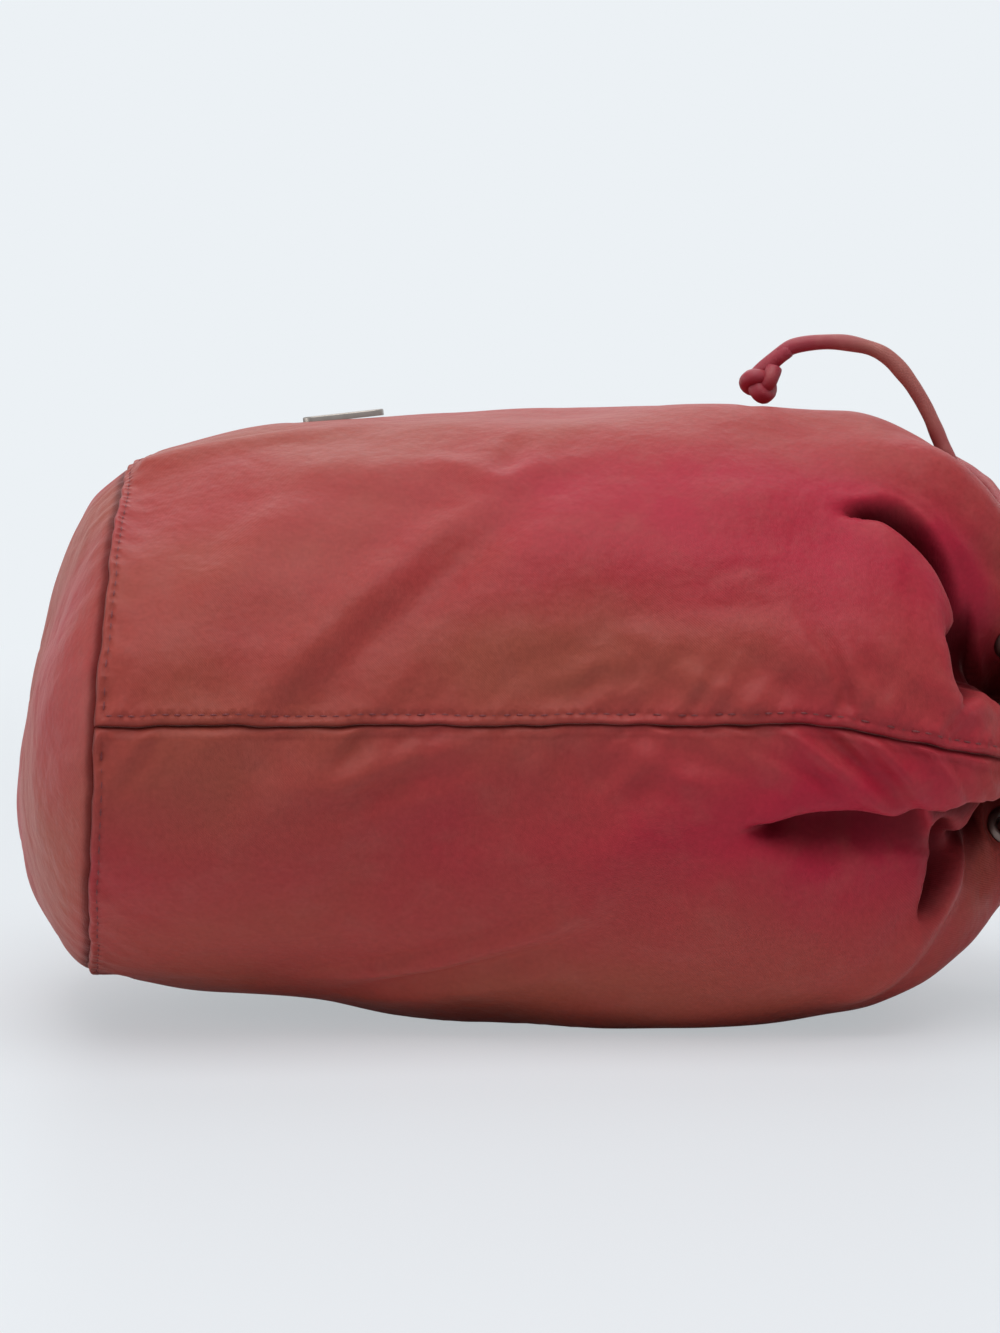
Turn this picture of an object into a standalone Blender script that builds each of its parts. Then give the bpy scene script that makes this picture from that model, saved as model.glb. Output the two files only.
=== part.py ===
"""Kinchaku drawstring pouch, filled and lying on its back panel.

Two curved cloth panels make a tube from the oval base to the mouth. They are pleated into six
ridges and six valleys at the neck, where a round drawstring runs through twelve eyelets.

Frame: metres, +Z up, +X from the base to the mouth, and the pouch rests on Z = 0.
A place on the cloth is given by its run, measured along the cloth from the base seam, and by its
turn round the tube, counted from the side seam at -Y over the top.
"""
import math
from collections import namedtuple

import bmesh
import bpy
from mathutils import Matrix, Vector

# Cloth and the gap between pieces that touch
FABRIC = 0.0011
GAP = 0.0003

# Lengths along the pouch
BASE_X = -0.1062
CORD_X = 0.1040
CLOTH_RUN = 0.223
RUFFLE_LENGTH = 0.022
RUFFLE_RUN = 0.025

# Half sizes of the section, from the axis
AXIS_HEIGHT = 0.0665
BASE_HALF_WIDTH = 0.0855
BASE_HALF_HEIGHT = 0.0584
BELLY_TOP = 0.0732
BELLY_UNDER = 0.0775
BELLY_SIDE = 0.0750
NECK_TOP = 0.0465
NECK_UNDER = 0.0400
NECK_SIDE = 0.0460
MOUTH_FLARE = 0.0020
SAG_POWER = 2.35
FLOOR_BLEND = 0.0030

# The base seam leans back at the top and bows forward at the sides
BASE_LEAN = 0.0047
BASE_BOW = 0.0033

# The side seams turn up on the body and down at the neck
BODY_TURN = math.radians(5.0)
NECK_TURN = math.radians(-4.0)

# Pleats
VALLEY_DEPTH = 0.0275
VALLEY_BACK = 0.0090
VALLEY_OPENING = 0.18
LOBES = 6
HALF_LOBE = math.pi / LOBES

# Raised welts along the seams
WELT_WIDTH = 0.0026
WELT_RISE = 0.0008

# Domed base
DOME_BULGE = 0.0222
DOME_POWER = 0.72
DOME_DROP = 0.0100
BASE_RECESS = 0.0008

# Drawstring and eyelets
CORD_DIAMETER = 0.0036
ROUTE_STEP = 1.25
BORE_RADIUS = 0.00275
EYELET_WALL = 0.0004
FLANGE_RADIUS = 0.0047
FLANGE_HEIGHT = 0.0008
WASHER_HEIGHT = 0.0005
EYELET_SIDES = 12
PATCH_MARGIN = 0.0008
FLANK_TURN = math.radians(12.5)

# Plate on the front panel
PLATE_LENGTH = 0.0186
PLATE_WIDTH = 0.0110
PLATE_THICKNESS = 0.0015
PLATE_RUN = 0.0540
PLATE_TURN = math.radians(88.0)
PLATE_CORNER = 0.0026
PRONG_RADIUS = 0.0006
PRONG_SPACING = 0.0110
BACKING_THICKNESS = 0.0006
BACKING_MARGIN = 0.0015

# Knots at the ends of the drawstring
KNOT_SIZE = Vector((0.0047, 0.0046, 0.0055))
KNOT_LUMPS = 0.10
NEAR_KNOT = Vector((0.0445, 0.0020, 0.1451))
FAR_KNOT = Vector((0.0290, 0.0547, 0.1244))

# Routes of the two free ends, from the eyelets on either side of the top valley to the knots
NEAR_ROUTE = (
    (0.0999, -0.0099, 0.1009), (0.1006, -0.0074, 0.1027), (0.1014, -0.0044, 0.1060),
    (0.1009, -0.0023, 0.1110), (0.0975, -0.0010, 0.1170), (0.0915, 0.0005, 0.1230),
    (0.0863, 0.0016, 0.1307), (0.0817, 0.0025, 0.1408), (0.0770, 0.0030, 0.1464),
    (0.0724, 0.0032, 0.1506), (0.0654, 0.0030, 0.1528), (0.0585, 0.0026, 0.1532),
    (0.0518, 0.0022, 0.1522), (0.0483, 0.0020, 0.1498),
)
FAR_ROUTE = (
    (0.1000, 0.0050, 0.1020), (0.1005, 0.0027, 0.1033), (0.1013, 0.0022, 0.1068),
    (0.1018, 0.0056, 0.1116), (0.1012, 0.0126, 0.1154), (0.0980, 0.0199, 0.1196),
    (0.0914, 0.0280, 0.1239), (0.0828, 0.0343, 0.1269), (0.0735, 0.0394, 0.1274),
    (0.0640, 0.0434, 0.1269), (0.0548, 0.0470, 0.1254), (0.0457, 0.0496, 0.1240),
    (0.0385, 0.0513, 0.1235), (0.0340, 0.0525, 0.1238),
)

BARREL_RADIUS = BORE_RADIUS + EYELET_WALL
HOLE_RADIUS = (BARREL_RADIUS + GAP) / math.cos(math.pi / EYELET_SIDES)
PATCH_HALF = FLANGE_RADIUS + PATCH_MARGIN

Valley = namedtuple("Valley", "turn start lead trail")

# Each valley: its turn, the share of the run where it starts, and how far it is turned there
# and at the neck
VALLEYS = (
    Valley(math.radians(30), 0.79, math.radians(13), math.radians(-8)),
    Valley(math.radians(90), 0.77, math.radians(2), math.radians(0)),
    Valley(math.radians(150), 0.73, math.radians(-6), math.radians(-2)),
    Valley(math.radians(210), 0.80, math.radians(4), math.radians(2)),
    Valley(math.radians(270), 0.76, math.radians(-3), math.radians(0)),
    Valley(math.radians(330), 0.67, math.radians(10), math.radians(1)),
)

# Shares of the cloth's run against shares of the length and of the change in section
LENGTH_CURVE = ((0.0, 0.0), (0.054, 0.052), (0.211, 0.218), (0.413, 0.431), (0.619, 0.649),
                (0.762, 0.796), (0.843, 0.882), (0.901, 0.934), (0.951, 0.972), (1.0, 1.0))
RISE_CURVE = ((0.0, 0.0), (0.054, 0.19), (0.211, 0.64), (0.413, 0.89), (0.619, 1.0), (1.0, 1.0))
UNDER_RISE_CURVE = ((0.0, 0.0), (0.054, 0.14), (0.211, 0.36), (0.413, 0.65), (0.53, 0.89),
                    (0.619, 1.0), (1.0, 1.0))
TAPER_CURVE = ((0.0, 0.0), (0.12, 0.10), (0.30, 0.55), (0.45, 0.88), (0.60, 1.0), (1.0, 1.0))
DROP_CURVE = ((0.0, 0.0), (0.619, 0.0), (0.762, 0.06), (0.843, 0.20), (0.901, 0.44),
              (0.951, 0.74), (1.0, 1.0))
UNDER_DROP_CURVE = ((0.0, 0.0), (0.619, 0.0), (0.762, 0.12), (0.843, 0.34), (0.901, 0.60),
                    (0.951, 0.84), (1.0, 1.0))

# Rows of the cloth's mesh, as shares of the run to the cord, before the eyelets' own rows
BODY_ROWS = (0.054, 0.13, 0.25, 0.39, 0.53, 0.64, 0.71, 0.767, 0.816, 0.861, 0.902, 0.938)
RUFFLE_ROWS = (0.6, 1.0)

# Rings of the base, as shares of its half width, and how many of them keep all of the rim's points
RING_SHARES = (1.0, 0.955, 0.84, 0.62, 0.33)
FULL_RINGS = 2


def clear_scene():
    """Remove every object, so that the file starts empty."""
    for old in list(bpy.data.objects):
        bpy.data.objects.remove(old, do_unlink=True)


def make_material(name, colour, roughness, metallic=0.0):
    """Give a plain Principled material with a linear colour."""
    material = bpy.data.materials.new(name)
    material.use_nodes = True
    shader = material.node_tree.nodes["Principled BSDF"]
    shader.inputs["Base Color"].default_value = (*colour, 1.0)
    shader.inputs["Roughness"].default_value = roughness
    shader.inputs["Metallic"].default_value = metallic
    return material


def add_object(name, mesh, material):
    """Link a mesh as a named object with one material."""
    mesh.materials.append(material)
    piece = bpy.data.objects.new(name, mesh)
    bpy.context.collection.objects.link(piece)
    return piece


def follow(curve, share):
    """Read a smooth curve through (place, value) points, with slopes from the neighbours."""
    if share <= curve[0][0]:
        return curve[0][1]
    last = len(curve) - 1
    for i in range(last):
        if share <= curve[i + 1][0]:
            break
    else:
        slope = (curve[last][1] - curve[last - 1][1]) / (curve[last][0] - curve[last - 1][0])
        return curve[last][1] + slope * (share - curve[last][0])
    (x0, y0), (x1, y1) = curve[i], curve[i + 1]
    step = x1 - x0
    rise = (y1 - y0) / step

    def slope_at(k):
        """Slope at one point, held flat where the curve turns."""
        if k == 0 or k == last:
            return rise
        before = (curve[k][1] - curve[k - 1][1]) / (curve[k][0] - curve[k - 1][0])
        after = (curve[k + 1][1] - curve[k][1]) / (curve[k + 1][0] - curve[k][0])
        if before * after <= 0.0:
            return 0.0
        return 2.0 * before * after / (before + after)

    t = (share - x0) / step
    m0 = slope_at(i) * step
    m1 = slope_at(i + 1) * step
    return (y0 * (1 + 2 * t) * (1 - t) ** 2 + m0 * t * (1 - t) ** 2
            + y1 * t * t * (3 - 2 * t) + m1 * t * t * (t - 1))


def smooth_step(value):
    """Ease from 0 to 1."""
    value = min(1.0, max(0.0, value))
    return value * value * (3.0 - 2.0 * value)


def section(share, angle):
    """Distance from the axis of the ridges' envelope, at an angle in the section."""
    flare = MOUTH_FLARE * smooth_step((share - 1.0) * CLOTH_RUN / RUFFLE_RUN)
    share = min(share, 1.0)
    rise = follow(RISE_CURVE, share)
    taper = follow(TAPER_CURVE, share)
    drop = follow(DROP_CURVE, share)
    side = BASE_HALF_WIDTH + (BELLY_SIDE - BASE_HALF_WIDTH) * taper
    side += (NECK_SIDE - BELLY_SIDE) * drop + flare
    power = 2.0
    if math.sin(angle) >= 0.0:
        upright = BASE_HALF_HEIGHT + (BELLY_TOP - BASE_HALF_HEIGHT) * rise
        upright += (NECK_TOP - BELLY_TOP) * drop + flare
    else:
        rise = follow(UNDER_RISE_CURVE, share)
        drop = follow(UNDER_DROP_CURVE, share)
        upright = BASE_HALF_HEIGHT + (BELLY_UNDER - BASE_HALF_HEIGHT) * rise
        upright += (NECK_UNDER - BELLY_UNDER) * drop + flare
        power += (SAG_POWER - 2.0) * rise * (1.0 - drop)
    across = abs(math.cos(angle)) / side
    up = abs(math.sin(angle)) / upright
    return (across ** power + up ** power) ** (-1.0 / power)


def pleat(share, turn):
    """Depth, setting back and turning of the pleats at one place on the cloth."""
    for valley in VALLEYS:
        off = (turn - valley.turn + math.pi) % (2.0 * math.pi) - math.pi
        if abs(off) <= HALF_LOBE:
            break
    reach = (share - valley.start) / (1.0 - valley.start)
    bump = math.cos(0.5 * math.pi * off / HALF_LOBE) ** 2
    shift = valley.lead + (valley.trail - valley.lead) * smooth_step(reach)
    early = smooth_step((share - valley.start + 0.25) / 0.25)
    if reach <= 0.0:
        return 0.0, 0.0, shift * bump * early
    reach = min(reach, 1.0)
    fall = (1.0 + 0.25) * reach * reach / (reach + 0.25)
    beyond = max(0.0, share - 1.0) * CLOTH_RUN / RUFFLE_RUN
    fall *= 1.0 - VALLEY_OPENING * smooth_step(beyond)
    narrow = 2.6 - 1.1 * smooth_step(reach)
    return VALLEY_DEPTH * fall * bump ** narrow, VALLEY_BACK * fall * bump, shift * bump * early


def cloth_point(run, turn):
    """Point of the cloth's outer face, without welts."""
    share = run / CLOTH_RUN
    depth, back, shift = pleat(share, turn)
    twist = BODY_TURN + (NECK_TURN - BODY_TURN) * smooth_step((share - 0.7) / 0.3)
    angle = turn + twist + shift
    radius = section(share, angle) - depth
    if share <= 1.0:
        x = BASE_X + (CORD_X - BASE_X) * follow(LENGTH_CURVE, share)
    else:
        x = CORD_X + RUFFLE_LENGTH * (run - CLOTH_RUN) / RUFFLE_RUN
    fade = max(0.0, 1.0 - share / 0.5) ** 2
    x += fade * (BASE_LEAN * math.sin(angle) + BASE_BOW * math.cos(angle) ** 2) - back
    z = radius * math.sin(angle) + AXIS_HEIGHT
    if z < -FLOOR_BLEND:
        z = 0.0
    elif z < FLOOR_BLEND:
        z = (z + FLOOR_BLEND) ** 2 / (4.0 * FLOOR_BLEND)
    return Vector((x, -radius * math.cos(angle), z))


def cloth_frame(run, turn):
    """Point, outward normal and direction of increasing turn on the outer face."""
    step_run = 0.0004
    step_turn = math.radians(0.3)
    along = cloth_point(run + step_run, turn) - cloth_point(max(0.0, run - step_run), turn)
    round_it = cloth_point(run, turn + step_turn) - cloth_point(run, turn - step_turn)
    normal = along.cross(round_it).normalized()
    return cloth_point(run, turn), normal, round_it.normalized()


def flank_turns():
    """Turns of the twelve eyelets, on both flanks of each ridge."""
    turns = []
    for valley in VALLEYS:
        turns.append(valley.turn - FLANK_TURN)
        turns.append(valley.turn + FLANK_TURN)
    return turns


def patch_reach(turn):
    """Turn that a patch's half width covers on a flank."""
    step = math.radians(1.0)
    span = (cloth_point(CLOTH_RUN, turn + step) - cloth_point(CLOTH_RUN, turn - step)).length
    return PATCH_HALF * 2.0 * step / span


def eyelet_patch(turn):
    """Four corners of a flat patch of cloth round one eyelet, its centre and its normal."""
    reach = patch_reach(turn)
    places = ((CLOTH_RUN - PATCH_HALF, turn - reach), (CLOTH_RUN - PATCH_HALF, turn + reach),
              (CLOTH_RUN + PATCH_HALF, turn + reach), (CLOTH_RUN + PATCH_HALF, turn - reach))
    corners = [cloth_point(*place) for place in places]
    centre = sum(corners, Vector()) / 4.0
    normal = (corners[2] - corners[0]).cross(corners[1] - corners[3]).normalized()
    aside = (corners[1] + corners[2] - corners[0] - corners[3]).normalized() * PATCH_HALF
    along = aside.cross(normal)
    corners = [centre - aside - along, centre + aside - along,
               centre + aside + along, centre - aside + along]
    return corners, centre, normal


def column_turns(first, last, welted):
    """Turns of the mesh columns of one panel between two side seams."""
    turns = [first, last]
    for valley in VALLEYS:
        for side in (-1.0, 1.0):
            flank = valley.turn + side * FLANK_TURN
            reach = patch_reach(flank)
            inner = flank - side * reach
            outer = flank + side * reach
            ridge = valley.turn + side * HALF_LOBE
            turns += [inner, outer, (inner + valley.turn) / 2.0]
            turns += [outer + (ridge - outer) * part / 3.0 for part in (1, 2)]
        turns.append(valley.turn)
        turns.append(valley.turn + HALF_LOBE)
    kept = sorted({round(turn, 6) for turn in turns if first - 1e-6 <= turn <= last + 1e-6})
    if welted:
        width = WELT_WIDTH / BELLY_SIDE
        kept += [first + 0.4 * width, first + width, last - width, last - 0.4 * width]
    return sorted(kept)


def row_runs():
    """Runs of the mesh rows, from the base seam to the edge of the mouth."""
    rows = [0.0, 0.4 * WELT_WIDTH, WELT_WIDTH]
    rows += [share * CLOTH_RUN for share in BODY_ROWS]
    rows += [CLOTH_RUN - PATCH_HALF, CLOTH_RUN + PATCH_HALF]
    rows += [CLOTH_RUN + PATCH_HALF + (RUFFLE_RUN - PATCH_HALF) * share for share in RUFFLE_ROWS]
    return rows


def welt_rise(distance):
    """Height of a welt at a distance from the seam's edge."""
    if distance >= WELT_WIDTH * 0.99:
        return 0.0
    if distance > WELT_WIDTH * 0.3:
        return WELT_RISE
    return WELT_RISE * 0.55


def panel_faces(run, turn, first, last, welted):
    """Outer and inner point of a panel at one place, with its seam edges drawn back."""
    point, normal, aside = cloth_frame(run, turn)
    rise = welt_rise(run)
    from_seam = min(turn - first, last - turn)
    if welted:
        rise = max(rise, welt_rise(from_seam * BELLY_SIDE))
    if from_seam < 1e-6:
        point = point + aside * (GAP / 2.0 if turn - first < 1e-6 else -GAP / 2.0)
    return point + normal * rise, point - normal * FABRIC


def make_panel(name, first, last, welted, material):
    """Build one cloth panel as a closed shell with its eyelet holes."""
    mesh = bmesh.new()
    rows = row_runs()
    turns = column_turns(first, last, welted)
    patches = {}
    for turn in flank_turns():
        if first < turn < last:
            column = max(j for j, place in enumerate(turns) if place < turn)
            patches[(rows.index(CLOTH_RUN - PATCH_HALF), column)] = eyelet_patch(turn)
    pinned = {}
    for (i, j), (corners, centre, normal) in patches.items():
        for place, corner in zip(((i, j), (i, j + 1), (i + 1, j + 1), (i + 1, j)), corners):
            pinned[place] = (corner, corner - normal * FABRIC)
    outer = []
    inner = []
    for i, run in enumerate(rows):
        pairs = [pinned.get((i, j)) or panel_faces(run, turn, first, last, welted)
                 for j, turn in enumerate(turns)]
        outer.append([mesh.verts.new(pair[0]) for pair in pairs])
        inner.append([mesh.verts.new(pair[1]) for pair in pairs])
    for i in range(len(rows) - 1):
        for j in range(len(turns) - 1):
            out_ring = [outer[i][j], outer[i][j + 1], outer[i + 1][j + 1], outer[i + 1][j]]
            in_ring = [inner[i][j], inner[i][j + 1], inner[i + 1][j + 1], inner[i + 1][j]]
            if (i, j) in patches:
                open_patch(mesh, out_ring, in_ring, patches[(i, j)])
            else:
                mesh.faces.new(out_ring)
                mesh.faces.new(in_ring[::-1])
    for near, far in ((outer[0], inner[0]), (inner[-1], outer[-1])):
        for j in range(len(turns) - 1):
            mesh.faces.new((near[j + 1], near[j], far[j], far[j + 1]))
    for i in range(len(rows) - 1):
        mesh.faces.new((outer[i][0], outer[i + 1][0], inner[i + 1][0], inner[i][0]))
        mesh.faces.new((outer[i + 1][-1], outer[i][-1], inner[i][-1], inner[i + 1][-1]))
    return finish_mesh(name, mesh, material)


def open_patch(mesh, out_ring, in_ring, patch):
    """Fill a flat patch with faces round its eyelet hole, and wall the hole."""
    corners, centre, normal = patch
    first_axis = (corners[0] - centre).normalized()
    second_axis = first_axis.cross(normal)
    per_side = EYELET_SIDES // 4
    angles = [0.0]
    for corner in corners[1:]:
        arm = corner - centre
        angles.append(math.atan2(arm.dot(second_axis), arm.dot(first_axis)) % (2.0 * math.pi))
    angles.append(2.0 * math.pi)
    rims = ([], [])
    for k in range(EYELET_SIDES):
        side, part = divmod(k, per_side)
        angle = angles[side] + (angles[side + 1] - angles[side]) * part / per_side
        arm = (first_axis * math.cos(angle) + second_axis * math.sin(angle)) * HOLE_RADIUS
        rims[0].append(mesh.verts.new(centre + arm))
        rims[1].append(mesh.verts.new(centre + arm - normal * FABRIC))
    for ring, rim, flip in ((out_ring, rims[0], False), (in_ring, rims[1], True)):
        for side in range(4):
            arc = [rim[(side * per_side + part) % EYELET_SIDES] for part in range(per_side, -1, -1)]
            face = [ring[side], ring[(side + 1) % 4]] + arc
            mesh.faces.new(face[::-1] if flip else face)
    for k in range(EYELET_SIDES):
        after = (k + 1) % EYELET_SIDES
        mesh.faces.new((rims[0][k], rims[0][after], rims[1][after], rims[1][k]))


def finish_mesh(name, mesh, material, sharp=40.0):
    """Turn a bmesh into a smooth shaded object with its normals outward."""
    bmesh.ops.recalc_face_normals(mesh, faces=mesh.faces)
    data = bpy.data.meshes.new(name)
    mesh.to_mesh(data)
    mesh.free()
    data.shade_smooth()
    data.set_sharp_from_angle(angle=math.radians(sharp))
    return add_object(name, data, material)


def base_point(share, rim_point, centre):
    """Point of the domed base between its centre and a point of its rim."""
    point = centre + (rim_point - centre) * share
    point.x -= DOME_BULGE * max(0.0, 1.0 - share * share) ** DOME_POWER
    return point


def make_base(material):
    """Build the oval base panel, which sits inside the ends of the two curved panels."""
    turns = column_turns(0.0, 2.0 * math.pi, False)[:-1]
    rim = []
    for turn in turns:
        point, normal, aside = cloth_frame(0.0, turn)
        inset = point - normal * (FABRIC + GAP)
        inset.x += BASE_RECESS
        rim.append(inset)
    middle_x = sum(point.x for point in rim) / len(rim)
    centre = Vector((middle_x, 0.0, AXIS_HEIGHT - DOME_DROP))
    mesh = bmesh.new()
    count = len(rim)
    outer = []
    inner = []
    for number, share in enumerate(RING_SHARES):
        skip = 1 if number < FULL_RINGS else 2
        out_ring = []
        in_ring = []
        for j in range(0, count, skip):
            step = 0.01
            point = base_point(share, rim[j], centre)
            inward = base_point(share - step, rim[j], centre) - point
            aside = rim[(j + 1) % count] - rim[j - 1]
            normal = aside.cross(inward).normalized()
            if normal.x > 0.0:
                normal = -normal
            out_ring.append(mesh.verts.new(point))
            in_ring.append(mesh.verts.new(point - normal * FABRIC))
        outer.append(out_ring)
        inner.append(in_ring)
    tips = [mesh.verts.new(base_point(0.0, centre, centre) + Vector((deep, 0.0, 0.0)))
            for deep in (0.0, FABRIC)]
    for rings, tip in ((outer, tips[0]), (inner, tips[1])):
        for wide, tight in zip(rings, rings[1:]):
            bridge(mesh, wide, tight)
        last = rings[-1]
        for j, vert in enumerate(last):
            mesh.faces.new((vert, last[(j + 1) % len(last)], tip))
    bridge(mesh, outer[0], inner[0])
    return finish_mesh("base_panel", mesh, material)


def bridge(mesh, wide, tight):
    """Join two closed rings of points, the second with as many or half as many."""
    skip = len(wide) // len(tight)
    for j, vert in enumerate(tight):
        after = tight[(j + 1) % len(tight)]
        arc = [wide[(j * skip + part) % len(wide)] for part in range(skip + 1)]
        if skip == 1:
            mesh.faces.new((arc[0], arc[1], after, vert))
        else:
            mesh.faces.new((arc[0], arc[1], vert))
            mesh.faces.new((arc[1], after, vert))
            mesh.faces.new((arc[1], arc[2], after))


def turned_mesh(name, profile):
    """Turn a closed (radius, height) outline round the local Z axis."""
    mesh = bmesh.new()
    rings = []
    for k in range(EYELET_SIDES):
        angle = 2.0 * math.pi * k / EYELET_SIDES
        rings.append([mesh.verts.new((radius * math.cos(angle), radius * math.sin(angle), height))
                      for radius, height in profile])
    count = len(profile)
    for k, ring in enumerate(rings):
        after = rings[(k + 1) % EYELET_SIDES]
        for i in range(count):
            mesh.faces.new((ring[i], ring[(i + 1) % count], after[(i + 1) % count], after[i]))
    bmesh.ops.recalc_face_normals(mesh, faces=mesh.faces)
    data = bpy.data.meshes.new(name)
    mesh.to_mesh(data)
    mesh.free()
    data.shade_smooth()
    data.set_sharp_from_angle(angle=math.radians(40.0))
    return data


def make_eyelets(metal):
    """Set an eyelet and its washer in each hole of the neck."""
    top = GAP + FLANGE_HEIGHT
    washer_top = -FABRIC - GAP
    end = washer_top - WASHER_HEIGHT - GAP
    crown = (BARREL_RADIUS + FLANGE_RADIUS) / 2.0
    eyelet_outline = ((BORE_RADIUS, end), (BORE_RADIUS, top - 0.3 * FLANGE_HEIGHT), (crown, top),
                      (FLANGE_RADIUS, GAP), (BARREL_RADIUS, GAP), (BARREL_RADIUS, end))
    washer_hole = HOLE_RADIUS
    washer_outline = ((washer_hole, washer_top - WASHER_HEIGHT), (washer_hole, washer_top),
                      (FLANGE_RADIUS, washer_top), (FLANGE_RADIUS, washer_top - WASHER_HEIGHT))
    for number, turn in enumerate(flank_turns(), start=1):
        corners, centre, normal = eyelet_patch(turn)
        side = (corners[0] - centre).normalized()
        place = Matrix((side, normal.cross(side), normal)).transposed().to_4x4()
        place.translation = centre
        for title, outline in (("eyelet", eyelet_outline), ("eyelet_washer", washer_outline)):
            name = f"{title}_{number:02d}"
            piece = add_object(name, turned_mesh(name, outline), metal)
            piece.matrix_world = place


def catmull(points, step):
    """Read points about one step apart from a smooth curve through a route."""
    route = [Vector(point) for point in points]
    ends = [route[0] * 2.0 - route[1]] + route + [route[-1] * 2.0 - route[-2]]
    fine = []
    for i in range(1, len(ends) - 2):
        before, start, end, after = ends[i - 1:i + 3]
        for k in range(12):
            t = k / 12.0
            fine.append(0.5 * (2.0 * start + (end - before) * t
                               + (2.0 * before - 5.0 * start + 4.0 * end - after) * t * t
                               + (3.0 * start - before - 3.0 * end + after) * t ** 3))
    fine.append(route[-1])
    lengths = [0.0]
    for one, two in zip(fine, fine[1:]):
        lengths.append(lengths[-1] + (two - one).length)
    count = max(2, round(lengths[-1] / step))
    kept = []
    for k in range(count + 1):
        goal = lengths[-1] * k / count
        at = next(i for i, length in enumerate(lengths) if length >= goal - 1e-9)
        kept.append(fine[at])
    return kept


def make_cord(name, points, material):
    """Make a round cord along points."""
    curve = bpy.data.curves.new(name, "CURVE")
    curve.dimensions = "3D"
    curve.resolution_u = 1
    curve.bevel_depth = CORD_DIAMETER / 2.0
    curve.bevel_resolution = 2
    curve.use_fill_caps = True
    spline = curve.splines.new("POLY")
    spline.points.add(len(points) - 1)
    for spot, point in zip(spline.points, points):
        spot.co = (*point, 1.0)
    spline.use_smooth = True
    return add_object(name, curve, material)


def make_drawstring(material):
    """Thread the drawstring through the eyelets, and lay out its two free ends."""
    reach = FABRIC + GAP + WASHER_HEIGHT
    order = [turn for turn in flank_turns() if turn < math.pi / 2.0][::-1]
    order += [turn for turn in flank_turns() if turn > math.pi / 2.0][::-1]
    seats = [eyelet_patch(turn) for turn in order]
    points = []
    for k, (corners, centre, normal) in enumerate(seats):
        heading = normal * (1.0 if k % 2 else -1.0)
        if k:
            start = points[-1]
            end = centre - heading * reach
            pull = (end - start).length / 8.0
            points.append((start + end) / 2.0 + (last_heading - heading) * pull)
            points.append(end)
        if k < len(seats) - 1:
            if not k:
                points.append(centre + heading * GAP / 2.0)
            points.append(centre + heading * reach)
        last_heading = heading
    points.append(seats[-1][1] - last_heading * GAP / 2.0)
    make_cord("drawstring_neck", points, material)
    make_cord("drawstring_end_near", catmull(NEAR_ROUTE, ROUTE_STEP * CORD_DIAMETER), material)
    make_cord("drawstring_end_far", catmull(FAR_ROUTE, ROUTE_STEP * CORD_DIAMETER), material)


def make_knot(name, centre, material):
    """Make the lumpy outer shape of a knot."""
    mesh = bmesh.new()
    bmesh.ops.create_uvsphere(mesh, u_segments=16, v_segments=9, radius=1.0)
    for vert in mesh.verts:
        around = math.atan2(vert.co.y, vert.co.x)
        lump = 1.0 - KNOT_LUMPS * (0.5 - 0.5 * math.cos(3.0 * around + 2.0 * vert.co.z))
        vert.co = Vector((vert.co.x * KNOT_SIZE.x * lump, vert.co.y * KNOT_SIZE.y * lump,
                          vert.co.z * KNOT_SIZE.z))
    knot = finish_mesh(name, mesh, material)
    knot.location = centre
    return knot


def rounded_outline(length, width, corner):
    """Points round a rectangle with round corners."""
    points = []
    for k, (sx, sy) in enumerate(((1, 1), (-1, 1), (-1, -1), (1, -1))):
        for part in range(5):
            angle = math.pi / 2.0 * (k + part / 4.0)
            points.append((sx * (length / 2.0 - corner) + corner * math.cos(angle),
                           sy * (width / 2.0 - corner) + corner * math.sin(angle)))
    return points


def slab_mesh(outline, low, high):
    """Extrude a flat outline between two heights."""
    mesh = bmesh.new()
    rings = [[mesh.verts.new((x, y, height)) for x, y in outline] for height in (low, high)]
    mesh.faces.new(rings[0][::-1])
    mesh.faces.new(rings[1])
    for k in range(len(outline)):
        after = (k + 1) % len(outline)
        mesh.faces.new((rings[0][k], rings[0][after], rings[1][after], rings[1][k]))
    return mesh


def prong_bodies(name, radius, low, high, place, material):
    """Make the two round bodies of the prongs as a hidden guide."""
    mesh = bmesh.new()
    for side in (-0.5, 0.5):
        spot = Matrix.Translation((side * PRONG_SPACING, 0.0, (low + high) / 2.0))
        bmesh.ops.create_cone(mesh, cap_ends=True, segments=8, radius1=radius, radius2=radius,
                              depth=high - low, matrix=spot)
    guide = finish_mesh(name, mesh, material)
    guide.matrix_world = place
    guide.hide_render = True
    guide.display_type = "WIRE"
    return guide


def combine(piece, guide, operation):
    """Join or cut a piece with a guide."""
    modifier = piece.modifiers.new(guide.name, "BOOLEAN")
    modifier.operation = operation
    modifier.object = guide
    modifier.solver = "EXACT"


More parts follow.
